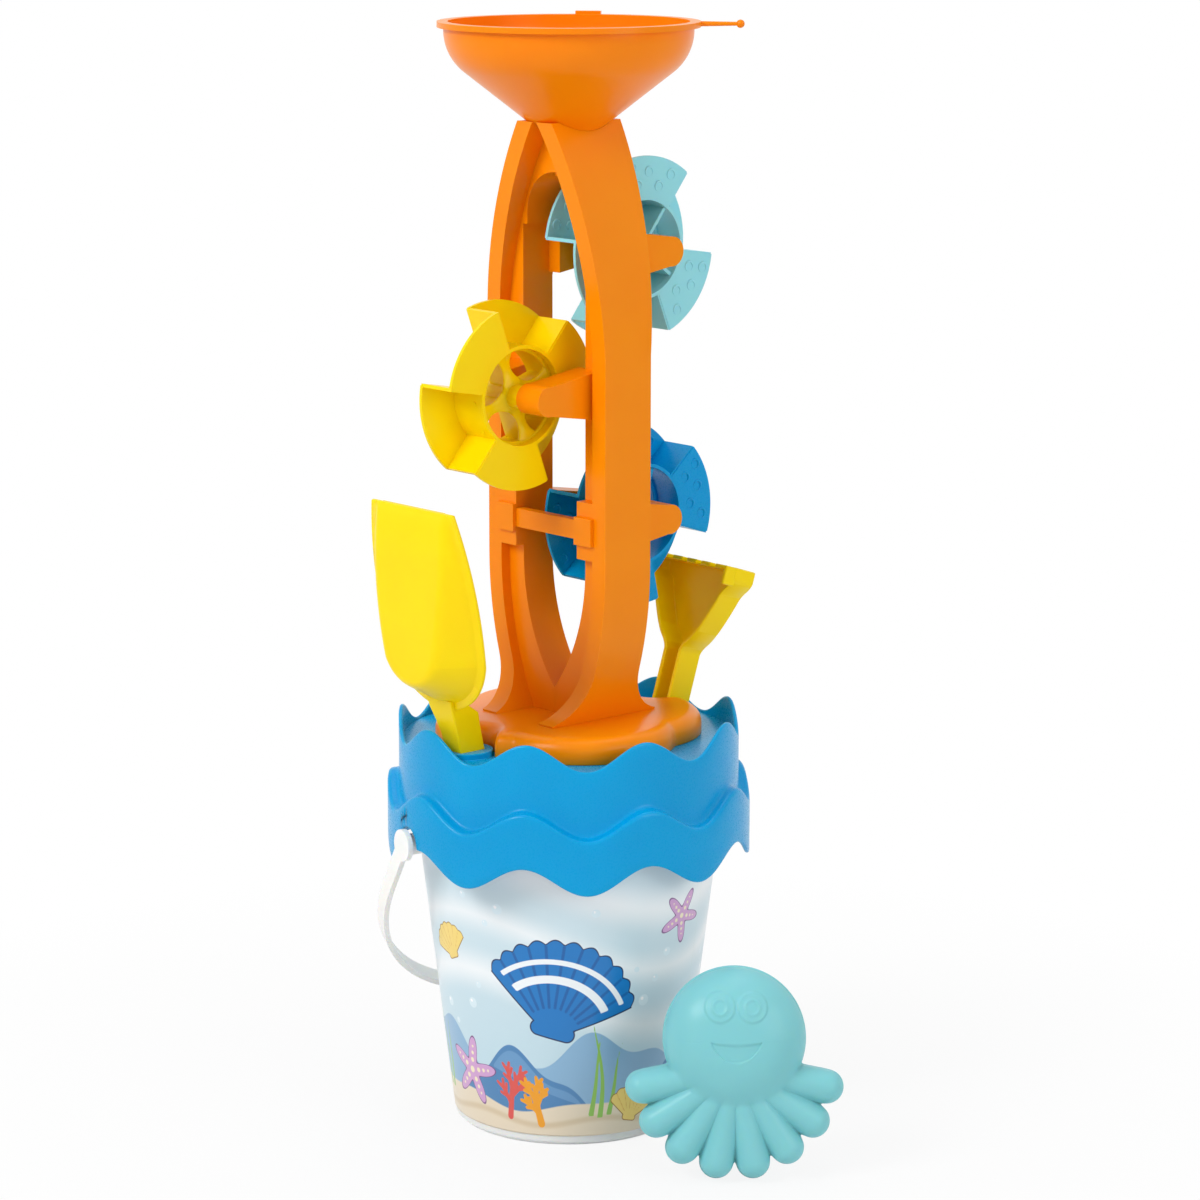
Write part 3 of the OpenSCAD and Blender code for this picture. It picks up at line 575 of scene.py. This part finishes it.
def octopusOutline(turn):  # the farther of the nearest arm, a bar with a round end, and the round head
    o = octopus
    step = o["spread"] / (o["arms"] - 1)
    degrees = np.degrees(turn)
    first = o["down"] - o["spread"] / 2
    nearest = np.clip(np.round((degrees - first) / step), 0, o["arms"] - 1)
    off = np.radians(np.abs(degrees - first - nearest * step))
    sine = np.maximum(np.sin(np.minimum(off, np.pi / 2)), 1e-6)
    tip = o["reach"] * np.cos(off) + np.sqrt(np.maximum(o["armRadius"] ** 2 - (o["reach"] * sine) ** 2, 0))
    arm = np.where(off < math.atan(o["armRadius"] / o["reach"]), tip, o["armRadius"] / sine)
    rise = o["headRise"]
    head = rise * np.sin(turn) + np.sqrt(o["headRadius"] ** 2 - (rise * np.cos(turn)) ** 2)
    return smoothed(np.maximum(arm, head), o["smoothing"])


def easeIn(value):  # 3 t squared less 2 t cubed, from 0 to 1
    t = np.clip(value, 0, 1)
    return t * t * (3 - 2 * t)


def withFace(height, x, up):  # adds two raised discs, each with a ring on it, and sinks a bowed mouth
    o = octopus
    for side in (-1, 1):
        d = np.hypot(x - side * o["eyes"], (up - o["eyeHeight"]) * o["eyeFlat"])
        height = height + o["eyeRise"] * easeIn((o["eyeRadius"] - d) / o["eyeEdge"])
        height = height + o["pupilRise"] * np.exp(-((d - o["pupil"]) / o["pupilWidth"]) ** 2)
    bow = np.maximum(1 - (x / o["mouth"]) ** 2, 0)
    upper = o["mouthHeight"] - o["upperLip"] * bow - up
    lower = up - o["mouthHeight"] + o["lowerLip"] * bow ** o["lipPower"]
    return height - o["mouthDepth"] * easeIn((np.minimum(upper, lower) + o["mouthOver"]) / o["mouthEdge"])


def octopusHeight(x, y):  # a flattened dome and half-round, sloping arms, blended where they meet
    o = octopus
    away = np.hypot(x, y - o["headRise"]) / o["headRadius"]
    dome = np.sqrt(np.maximum(1 - np.minimum(away, 1) ** o["headPower"], 0))
    head = np.where(away < 1, o["headBase"] + (o["depth"] - o["headBase"]) * dome, 0)
    arms = np.zeros_like(x)
    for k in range(o["arms"]):
        a = math.radians(o["down"] - o["spread"] / 2 + k * o["spread"] / (o["arms"] - 1))
        nearest = np.clip(x * math.cos(a) + y * math.sin(a), 0, o["reach"])
        apart = np.hypot(x - nearest * math.cos(a), y - nearest * math.sin(a)) / o["armRadius"]
        full = o["armHeight"] * (1 + o["armTaper"] - o["armTaper"] * nearest / o["reach"])
        arm = o["armBase"] + full * np.sqrt(np.maximum(1 - np.minimum(apart, 1) ** 2, 0))
        arms = np.maximum(arms, np.where(apart < 1, arm, o["armBase"]))
    blend = np.maximum(o["blend"] - np.abs(head - arms), 0)
    return withFace(np.maximum(head, arms) + blend ** 2 / (4 * o["blend"]), x, y + o["fanHeight"])


def mouldPlace(points):  # raises the mould till it only leans back, then turns and shifts it
    y, z = turned(points[..., 1], points[..., 2], 90 - octopus["lean"])
    x, y = turned(points[..., 0], y, octopus["turn"])
    return np.stack([x + octopus["place"][0], y + octopus["place"][1], z], -1)


def octopusMould():  # rings from the middle of the front out to the rim and back in along the hollow
    o = octopus
    turn = np.radians(np.linspace(90, 450, o["steps"], endpoint=False))
    outline = octopusOutline(turn)
    body = outline - o["flange"]
    hollow = outline - o["hollow"]
    rows = []

    def ring(away, height):
        rows.append(circleRow(turn, away, height) + np.array([0, o["fanHeight"], 0]))

    def front(share):
        return octopusHeight(share * body * np.cos(turn), share * body * np.sin(turn))

    for share in 1 - np.linspace(1, 0, o["outerRings"])[1:] ** o["ringPower"]:
        ring(share * body, front(share))
    for inset, height in o["rim"]:
        ring(outline - inset, height)
    ring(hollow, 0.0)
    for share in np.linspace(1, 0, o["innerRings"])[:-1]:
        ring(share * hollow, np.maximum(front(share) - o["wall"], o["thinnest"]))
    piece = cappedPiece("octopus_soft", mouldPlace(np.stack(rows)) * mm, "octopus_mould")
    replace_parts(piece, "octopus_mould")


octopusMould()
print("octopus mould ready")


# Shovel: the scoop's back is a height over its rim, the lesser of a sloping floor and a steep wall.
# The grid runs round a point on the middle line and out to the rim; z runs along the handle, x to the front.

shovel = {"node": "shovel", "place": (-63, 0, 186), "facing": 1, "lean": 14, "neck": 26,
          "length": 98, "width": 72, "tipWidth": 58, "depth": 21, "fullness": 0.75, "rim": -5,
          "rimRound": 0.4, "lip": 3.6, "wall": 2, "hollowShare": 1.2, "steepness": 1.15, "soft": 3,
          "bend": 3, "middle": 70, "steps": 420, "rings": 41, "halvings": 40, "crease": 50,
          "handleWidth": 12, "handleDepth": 14, "handleLow": 42, "handleOver": 2, "handleTop": 6,
          "edge": 0.5, "handleCrease": 40, "flareFrom": 8, "flare": 2.4, "backFlare": 2,
          "frontFrom": 20, "frontOver": 1}


def toolPlace(tool, points):  # leans the tool about y; the shovel's open side faces +x, the rake's -x
    x, z = turned(points[..., 0], points[..., 2], tool["lean"])
    return (np.stack([x * tool["facing"], points[..., 1], z], -1) + np.array(tool["place"])) * mm


def toRim(y, z):  # distance to the nearest point of the rim, whose sides and heel are arcs
    s = shovel
    sag = (s["width"] - s["tipWidth"]) / 2
    half = s["length"] / 2
    arc = (half ** 2 + sag ** 2) / (2 * sag)
    sides = arc - np.hypot(np.abs(y) + arc - s["width"] / 2, z - s["neck"] - half)
    heel = s["width"] / 2 - np.hypot(y, z - s["neck"] - s["width"] / 2)
    return np.where(z < s["neck"] + s["width"] / 2, np.minimum(sides, heel), sides)


def rimReach(turn, inset):  # distance from the middle point to the rim less an inset, found by halving
    low = np.zeros_like(turn)
    high = np.full_like(turn, shovel["length"])
    for k in range(shovel["halvings"]):
        reach = (low + high) / 2
        z = shovel["middle"] + reach * np.cos(turn)
        inside = (toRim(reach * np.sin(turn), z) > inset) & (z < shovel["neck"] + shovel["length"])
        low = np.where(inside, reach, low)
        high = np.where(inside, high, reach)
    return low


def scoopDepth(y, z, inset):  # the lesser of floor and wall, with the ridge between them rounded
    s = shovel
    floor = s["depth"] * np.clip(1 - (z - s["neck"]) / s["length"], 0, 1) ** s["fullness"]
    wall = s["steepness"] * np.maximum(toRim(y, z) - inset, 0)
    blend = np.maximum(s["soft"] - np.abs(floor - wall), 0)
    return np.maximum(np.minimum(floor, wall) - blend ** 2 / (4 * s["soft"]), 0)


def shovelScoop():  # rings from the middle of the back out to the rim and back in along the hollow
    s = shovel
    turn = around(s["steps"])
    hollow = s["lip"] + s["wall"] * s["hollowShare"]
    outer = rimReach(turn, s["lip"])
    edge = rimReach(turn, 0)
    inner = rimReach(turn, hollow)
    back = s["rim"] - s["wall"]
    rows = []

    def ring(reach, x):
        z = s["middle"] + reach * np.cos(turn)
        x = x + (z - s["neck"]) * math.tan(math.radians(s["bend"]))
        rows.append(np.stack([x, reach * np.sin(turn), z], -1))

    def skin(reach, level, inset):
        ring(reach, level - scoopDepth(reach * np.sin(turn), s["middle"] + reach * np.cos(turn), inset))

    for share in np.linspace(0, 1, s["rings"])[1:]:
        skin(share * outer, back, s["lip"])
    r = s["rimRound"]
    for inset, rise in ((r, 0.0), (0.0, r), (0.0, s["wall"] - r), (r, s["wall"])):
        ring(edge - inset, back + rise)
    for share in np.linspace(1, 0, s["rings"])[:-1]:
        skin(share * inner, s["rim"], hollow)
    piece = cappedPiece("shovel_scoop", toolPlace(s, np.stack(rows)), "shovel")
    crease(piece, s["crease"])
    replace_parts(piece, "shovel")


def channel(name, tool, rows):  # a U for each row of z, half width, half hollow, back, front, filled
    e = tool["edge"]
    sections = []
    for z, half, hollow, back, front, filled in rows:
        outer = [(front, e - half), (front - e, -half), (back + e, -half), (back, e - half),
                 (back, half - e), (back + e, half), (front - e, half), (front, half - e)]
        floor = back + tool["wall"]
        inner = [(front, hollow + e), (front - e, hollow), (floor + e, hollow), (floor, hollow - e)]
        inner += [(x, -y) for x, y in inner[::-1]]
        if filled:
            inner = [(front, y) for x, y in inner]
        sections.append([(x, y, z) for x, y in outer + inner])
    grid = np.array(sections)
    points = toolPlace(tool, grid).reshape(-1, 3)
    piece = meshPiece(name, points, outward(points, barFaces(*grid.shape[:2])), tool["node"])
    crease(piece, tool["handleCrease"])
    return piece


def shovelHandle():  # widens by a square towards the neck, where its front sinks to the scoop's rim
    s = shovel
    low = -s["handleLow"]
    deep = s["handleDepth"] / 2
    top = s["neck"] + s["handleTop"]
    closed = [low, low + s["edge"], low + s["wall"]]
    hollow = [low + s["wall"], s["flareFrom"], (s["flareFrom"] + s["frontFrom"]) / 2, s["frontFrom"],
              s["neck"] + s["handleOver"], top]
    rows = []
    for z, filled in [(z, True) for z in closed] + [(z, False) for z in hollow]:
        rise = min(max((z - s["flareFrom"]) / (s["neck"] - s["flareFrom"]), 0), 1)
        half = s["handleWidth"] / 2 + s["flare"] * rise ** 2 - (s["edge"] if z == low else 0)
        back = -deep - s["backFlare"] * rise ** 2
        sink = max((z - s["frontFrom"]) / (top - s["frontFrom"]), 0)
        front = deep - (deep - s["rim"] - s["frontOver"]) * sink
        rows.append((z, half, half - s["wall"], back, front, filled))
    channel("shovel_handle", s, rows)


shovelScoop()
shovelHandle()
print("shovel ready")


# Rake: a channel that widens in an S-curve into the head, with a row of tines and a plate at each end of it

rake = {"node": "rake", "place": (63, 0, 186), "facing": -1, "lean": 18, "wall": 2, "edge": 0.5,
        "handleWidth": 12, "handleDepth": 14, "handleLow": 42, "handleCrease": 40, "neck": 34,
        "shoulder": 30, "headHeight": 12, "width": 60, "flareShare": 0.78, "flarePower": 0.65,
        "headRate": 3, "round": 3, "roundSteps": 31, "flareFrom": 26, "flareTo": 73, "flareSteps": 95,
        "slopeStep": 0.5, "filledRows": 3, "tines": 6, "tineLength": 6, "tineSink": 1, "topGap": 0.1,
        "plateHeight": 9, "plateHalf": 1, "plateInset": 1.1, "cut": 0.4, "crease": 32}


def rakeHalf(z):  # half width at a height: a power curve and a short ramp, averaged to round the corners
    r = rake
    half = r["handleWidth"] / 2
    shoulder = r["neck"] + r["shoulder"]
    samples = z[:, None] + np.linspace(-r["round"], r["round"], r["roundSteps"])
    rise = np.clip((samples - r["neck"]) / r["shoulder"], 0, 1)
    bow = r["flareShare"] * rise ** r["flarePower"]
    head = (1 - r["flareShare"]) * np.clip((samples - shoulder) * r["headRate"] / r["headHeight"], 0, 1)
    return (half + (r["width"] / 2 - half) * (bow + head)).mean(-1)


def rakeShell():  # the wall keeps its thickness where the outline slopes; the end rows are filled
    r = rake
    e = r["edge"]
    wall = r["wall"]
    low = -r["handleLow"]
    top = r["neck"] + r["shoulder"] + r["headHeight"]
    levels = np.concatenate([[low, low + e, low + wall, low + wall, 0],
                             np.linspace(r["flareFrom"], r["flareTo"], r["flareSteps"]),
                             [top - wall, top - wall, top - e, top]])
    step = r["slopeStep"]
    slopes = (rakeHalf(levels + step) - rakeHalf(levels - step)) / (2 * step)
    rows = []
    for z, half, slope in zip(levels, rakeHalf(levels), slopes):
        trim = e if z in (low, top) else 0
        deep = r["handleDepth"] / 2 - trim
        filled = len(rows) < r["filledRows"] or len(rows) >= len(levels) - r["filledRows"]
        rows.append((z, half - trim, half - wall * math.hypot(1, slope), -deep, deep, filled))
    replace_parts(channel("rake_shell", r, rows), "rake")


def rakeTines():  # flat bars with cut corners
    r = rake
    cut = r["cut"]
    top = r["neck"] + r["shoulder"] + r["headHeight"] - r["topGap"]
    pitch = r["width"] / r["tines"]
    bars = [((k + 0.5 - r["tines"] / 2) * pitch, pitch / 3, r["wall"]) for k in range(r["tines"])]
    bars += [(end * (r["width"] / 2 - r["plateInset"]), r["plateHalf"], r["plateHeight"]) for end in (-1, 1)]
    root = r["handleDepth"] / 2 - r["tineSink"]
    tip = r["handleDepth"] / 2 + r["tineLength"]
    parts = []
    for middle, half, tall in bars:
        sections = []
        for x, inset in ((root, 0), (tip - cut, 0), (tip, cut)):
            section = cutCorners(inset - half, half - inset, top - tall + inset, top - inset, cut)
            sections.append([(x, y, z) for y, z in section])
        grid = np.array(sections) + np.array([0, middle, 0])
        parts.append((grid.reshape(-1, 3), barFaces(*grid.shape[:2])))
    points, faces = gathered(parts)
    points = toolPlace(r, points)
    piece = meshPiece("rake_tines", points, outward(points, faces), "rake")
    crease(piece, r["crease"])


rakeShell()
rakeTines()
print("rake ready")


# Film round the bucket: a seabed of rocks, weeds, shells and bubbles, drawn twice round.
# u runs along the film and v up it, both in mm; a distance is positive inside its motif.

film = {"low": 5, "high": 150, "footRadius": 54, "taper": 22.5, "taperHeight": 184, "thickness": 0.4,
        "backLift": 0.02, "frontAngle": 229, "repeat": 204, "rows": 160, "columns": 544}
rolling = {  # level in mm; size in mm, count in one repeat and phase of each wave
    "light": (0, [(13.6, 1, 0)]),
    "farRocks": (40, [(9, 2, 0.6), (4, 5, 0)]),
    "nearRocks": (26, [(15, 2, 3.4), (3.5, 6, 1)]),
    "sand": (15, [(2.6, 2, 0), (1.2, 4, 2)]),
    "sandShade": (7, [(2, 3, 0)]),
}
slopeShare = 0.7  # about the distance from a rolling line per mm of height over it
streaks = [(66, 6), (94, 4), (124, 7)]  # height, half width
rockStripes = {"below": 3, "pitch": 68, "shift": 300, "gap": 46}
shadeHalf = 1.4
weeds = [(12, 10, 44, 7), (17, 9, 56, -5), (22, 10, 38, 8), (-84, 12, 40, 6),
         (-89, 12, 52, -7), (66, 12, 48, 8), (72, 12, 36, -6)]  # u, v, length, bend
weedBlade = {"half": 1.5, "sway": 1.3, "swayRate": 5}
corals = {  # each foot has u, v and length
    "redCoral": {"lean": 8, "width": 1.7, "feet": [(-33, 8, 15), (80, 8, 18)]},
    "goldCoral": {"lean": -14, "width": 2, "feet": [(-15, 6, 13), (94, 6, 16)]},
}
twigs = {"forks": 2, "places": [(0.45, -1), (0.7, 1), (1, -0.6), (1, 0.7)], "spread": 38,
         "length": 0.55, "width": 0.75, "taper": 0.8}
stars = [{"u": -58, "v": 27, "size": 17, "tilt": 10},
         {"u": 58, "v": 104, "size": 13, "tilt": 30}]
starShape = {"arms": 5, "middle": 0.62, "arm": 0.34, "tip": 0.04, "flank": 0.6,
             "dots": [(0, 0.1), (0.3, 0.075), (0.52, 0.06), (0.72, 0.045)]}  # shares of the star's size
blueShell = {"u": -9, "v": 50, "size": 49, "tilt": 14, "ribs": 11}
goldShells = [{"u": -63, "v": 82, "size": 17, "tilt": -22, "ribs": 7},
              {"u": 34, "v": 6, "size": 18, "tilt": 12, "ribs": 7}]
fanShape = {"scallop": 0.05, "sag": 0.1, "ear": 0.15, "earHeight": 0.07,  # shares of the shell's size
            "rib": 0.014, "ribFrom": 0.3, "ribSide": 0.02, "bandSide": 0.07,
            "bands": [(0.6, 0.04), (0.78, 0.026)]}  # middle, half width
outlines = {"pinkStar": 0.5, "goldShell": 0.45, "blueShell": 0.7}
bubbles = [(-33, 112, 2.6), (-40, 104, 1.6), (38, 66, 2.8), (44, 76, 1.9), (33, 82, 1.4),
           (-72, 58, 2.4), (-66, 50, 1.5), (50, 88, 2.2), (-52, 62, 2.6), (-47, 72, 1.7),
           (12, 112, 2), (-92, 96, 2.2), (90, 70, 2.6), (84, 80, 1.7), (-52, 116, 1.8)]
bubbleLight = {"size": 0.32, "left": 0.3, "up": 0.35}  # shares of the bubble's radius


def capsule(u, v, start, end, width0, width1):  # distance into a bar with round ends
    du, dv = end[0] - start[0], end[1] - start[1]
    t = np.clip(((u - start[0]) * du + (v - start[1]) * dv) / (du * du + dv * dv), 0, 1)
    return width0 + (width1 - width0) * t - np.hypot(u - start[0] - t * du, v - start[1] - t * dv)


def polar(u, v, shape):  # distance from the motif's foot and angle from its upright, in radians
    x, y = u - shape["u"], v - shape["v"]
    return np.hypot(x, y), folded(np.arctan2(x, y) - math.radians(shape["tilt"]), 2 * np.pi)


def union(shapes):  # the largest distance: inside any shape
    return np.maximum.reduce(list(shapes))


def overlap(shapes):  # the least distance: inside every shape
    return np.minimum.reduce(list(shapes))


def rolled(name, w):  # a level with sine waves on it
    height, waves = rolling[name]
    for size, count, phase in waves:
        height = height + size * np.sin(count * w + phase)
    return height


def fanShell(u, v, shape):  # a scalloped sector with two ears, lines between its ribs, bands across it
    f = fanShape
    away, angle = polar(u, v, shape)
    size = shape["size"]
    fold = angle * shape["ribs"] / 2
    sides = (1 - np.abs(angle)) * away
    scallop = f["scallop"] * np.abs(np.cos(np.pi * fold))
    edge = size * (1 - f["scallop"] + scallop) * (1 - f["sag"] * angle ** 2)
    fan = np.minimum(edge - away, sides)
    ear = f["ear"] * size
    low = f["earHeight"] * size
    ears = capsule(away * np.sin(angle), away * np.cos(angle), (-ear, low), (ear, low), low, low)
    groove = np.abs(fold % 1 - 0.5) * 2 / shape["ribs"] * away
    ribs = overlap([f["rib"] * size - groove, edge - away,
                    away - f["ribFrom"] * size, sides - f["ribSide"] * size])
    bands = union(np.minimum(half * size - np.abs(away - place * size), sides - f["bandSide"] * size)
                  for place, half in f["bands"])
    return np.maximum(fan, ears), ribs, bands


def starFish(u, v, shape):  # the edge is a wave round the middle; the dots repeat along every arm
    s = starShape
    away, angle = polar(u, v, shape)
    size = shape["size"]
    turn = s["arms"] * angle
    edge = size * (s["middle"] + s["arm"] * np.cos(turn) + s["tip"] * np.cos(2 * turn))
    fold = np.abs(folded(angle, 2 * np.pi / s["arms"]))
    dots = union(half * size - np.hypot(away * np.cos(fold) - place * size, away * np.sin(fold))
                 for place, half in s["dots"])
    return (edge - away) * s["flank"], dots


def coral(u, v, foot, lean, length, width, forks):  # a bar that carries shorter, thinner ones
    a = math.radians(lean)
    tip = (foot[0] + length * math.sin(a), foot[1] + length * math.cos(a))
    shape = capsule(u, v, foot, tip, width, width * twigs["taper"])
    if forks > 0:
        for share, side in twigs["places"]:
            start = (foot[0] + (tip[0] - foot[0]) * share, foot[1] + (tip[1] - foot[1]) * share)
            twig = coral(u, v, start, lean + twigs["spread"] * side, length * twigs["length"],
                         width * twigs["width"], forks - 1)
            shape = np.maximum(shape, twig)
    return shape


def weed(u, v, foot, low, length, bow):  # narrows to its tip, bows by a square and sways by a sine
    t = np.clip((v - low) / length, 0, 1)
    middle = foot + bow * t ** 2 + weedBlade["sway"] * np.sin(weedBlade["swayRate"] * t)
    return np.minimum(weedBlade["half"] * (1 - t) - np.abs(u - middle), v - low)


def seabed(u, v):  # the distance of every motif, from the water's streaks to the bubbles
    layers = {"filmHeight": v / (film["high"] - film["low"])}
    w = 2 * np.pi * u / film["repeat"]  # whole waves fit round, so that the film shows no seam
    slant = v + rolled("light", w)
    layers["streaks"] = union(half - np.abs(slant - level) for level, half in streaks)
    near = rolled("nearRocks", w)
    r = rockStripes
    stripes = (r["pitch"] * u / film["repeat"] + v + r["shift"]) % r["pitch"] - r["gap"]
    layers["farRocks"] = (rolled("farRocks", w) - v) * slopeShare
    layers["nearRocks"] = (near - v) * slopeShare
    layers["rockLight"] = np.minimum((near - r["below"] - v) * slopeShare, stripes)
    layers["sand"] = rolled("sand", w) - v
    layers["sandShade"] = shadeHalf - np.abs(v - rolled("sandShade", w))
    layers["weeds"] = union(weed(u, v, *values) for values in weeds)
    for name, c in corals.items():
        layers[name] = union(coral(u, v, (a, b), c["lean"], length, c["width"], twigs["forks"])
                             for a, b, length in c["feet"])
    pinkStars = [starFish(u, v, shape) for shape in stars]
    layers["pinkStar"] = union(star for star, dots in pinkStars)
    layers["pinkDots"] = union(dots for star, dots in pinkStars)
    shells = [fanShell(u, v, shape) for shape in goldShells]
    layers["goldShell"] = union(fan for fan, ribs, bands in shells)
    layers["goldRibs"] = union(ribs for fan, ribs, bands in shells)
    layers["blueShell"], layers["blueRibs"], layers["whiteBands"] = fanShell(u, v, blueShell)
    for name, wide in outlines.items():
        layers[name + "Edge"] = layers[name] + wide
    b = bubbleLight
    layers["bubbles"] = union(r - np.hypot(u - a, v - c) for a, c, r in bubbles)
    layers["bubbleLights"] = union(b["size"] * r - np.hypot(u - a + b["left"] * r, v - c - b["up"] * r)
                                   for a, c, r in bubbles)
    return layers


def bucketFilm():  # a cone outside the bucket's own, closed by two rows just off the bucket
    f = film
    turn = around(f["columns"])
    heights = np.append(np.linspace(f["low"], f["high"], f["rows"]), [f["high"], f["low"]])
    lift = np.append(np.full(f["rows"], f["thickness"]), [f["backLift"], f["backLift"]])
    radius = f["footRadius"] + f["taper"] / f["taperHeight"] * heights + lift
    rows = np.stack([circleRow(turn, away, height) for away, height in zip(radius, heights)])
    piece = closedPiece("bucket_film", rows * mm, "bucket_label")
    along = folded(np.degrees(turn) - f["frontAngle"], 180) / 180 * f["repeat"]
    u, v = np.meshgrid(along, heights - f["low"])
    for name, values in seabed(u, v).items():
        layer = piece.data.attributes.new(name, "FLOAT", "POINT")
        layer.data.foreach_set("value", values.reshape(-1).astype(np.float32))
    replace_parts(piece, "bucket_label")


bucketFilm()
print("film ready")


# Stage: a pale floor in a white room

stage = {"span": 6.0, "sky": 0.52,
         "fade": {"From Min": 0.12, "From Max": 0.45, "To Min": 0.86},  # distances in m, share of white
         "shader": {"Base Color": (0.8, 0.8, 0.8, 1), "Roughness": 0.7, "Specular IOR Level": 0.1}}
pureWhite = (1, 1, 1, 1)


def seenRays(tree):  # 1 for rays from the camera, off a gloss or through something clear, and 0 for the rest
    path = addNode(tree, "LightPath")
    seen = path.outputs["Is Camera Ray"]
    for kind in ("Is Glossy Ray", "Is Transmission Ray"):
        either = addNode(tree, "Math", operation="MAXIMUM")
        tree.links.new(seen, either.inputs[0])
        tree.links.new(path.outputs[kind], either.inputs[1])
        seen = either.outputs["Value"]
    return seen


def stageMaterial():  # takes a soft shadow near the object and fades to white further off
    material, tree, shader = newMaterial("paleStage")
    setSockets(shader, stage["shader"])
    white = addNode(tree, "Emission", {"Color": pureWhite})
    place = addNode(tree, "TexCoord")
    away = addNode(tree, "VectorMath", operation="LENGTH")
    fade = addNode(tree, "MapRange", stage["fade"])
    share = addNode(tree, "Math", operation="MULTIPLY")
    mix = addNode(tree, "MixShader")
    tree.links.new(seenRays(tree), share.inputs[0])
    joinNodes(tree, [(place, "Object", away, 0), (away, "Value", fade, "Value"), (fade, "Result", share, 1),
                     (share, "Value", mix, "Fac"), (shader, "BSDF", mix, 1), (white, "Emission", mix, 2),
                     (mix, "Shader", tree.nodes["Material Output"], "Surface")])
    return material


def floorSheet():  # a flat grid of four faces
    span = np.linspace(-stage["span"], stage["span"], 3)
    x, y = np.meshgrid(span, span, indexing="ij")
    points = np.stack([x, y, np.zeros_like(x)], -1).reshape(-1, 3)
    mesh = bpy.data.meshes.new("floorSheet")
    mesh.from_pydata(points.tolist(), [], gridFaces(len(span), len(span)).tolist())
    mesh.materials.append(stageMaterial())
    sheet = placed("floorSheet", mesh)


def softRoom():  # white to the rays that show it, a gentle sky to everything else
    world = bpy.data.worlds.new("softRoom")
    world.use_nodes = True
    tree = world.node_tree
    sky = tree.nodes["Background"]
    setSockets(sky, {"Color": pureWhite, "Strength": stage["sky"]})
    white = addNode(tree, "Background", {"Color": pureWhite})
    mix = addNode(tree, "MixShader")
    tree.links.new(seenRays(tree), mix.inputs["Fac"])
    joinNodes(tree, [(sky, "Background", mix, 1), (white, "Background", mix, 2),
                     (mix, "Shader", tree.nodes["World Output"], "Surface")])
    bpy.context.scene.world = world


floorSheet()
softRoom()


# Camera and lamps

view = {"distance": 1.825, "height": 0.623, "azimuth": -41.0, "pitch": 11.45, "sensor": 36, "lens": 118.7,
        "shift": 0.026, "drop": -0.0045}
lamps = {  # place from the camera's seat in m: right, towards it, up; size in m; power in W
    "keyLamp": ((-1.35, 1.0, 1.5), 0.9, 22),
    "fillLamp": ((1.4, 1.2, 0.9), 1.2, 9),
    "topLamp": ((0.0, -0.3, 1.9), 1.4, 8),
}
lampTarget = (0, 0, 0.27)


def cameraSide(right, toward, up):  # turns a place given from the camera's seat about z
    x, y = turned(right, -toward, view["azimuth"])
    return (x, y, up)


def softLamp(name, place, size, power):  # a round lamp that looks at the target
    data = bpy.data.lights.new(name, "AREA")
    data.shape = "DISK"
    data.size = size
    data.energy = power
    lamp = placed(name, data)
    back = np.array(place) - np.array(lampTarget)
    back = back / np.linalg.norm(back)
    lamp.location = place
    lamp.rotation_euler = (math.acos(back[2]), 0, math.atan2(back[0], -back[1]))


def photoCamera():  # stands off at the azimuth and looks down by the pitch
    data = bpy.data.cameras.new("photoCamera")
    data.sensor_width = view["sensor"]
    data.lens = view["lens"]
    data.shift_x = view["shift"]
    data.shift_y = view["drop"]
    camera = placed("photoCamera", data)
    camera.location = cameraSide(0, view["distance"], view["height"])
    camera.rotation_euler = (math.radians(90 - view["pitch"]), 0, math.radians(view["azimuth"]))
    bpy.context.scene.camera = camera


for name, (seat, size, power) in lamps.items():
    softLamp(name, cameraSide(*seat), size, power)
photoCamera()
bpy.context.scene.view_settings.view_transform = "Standard"
print("stage, lamps and camera ready")
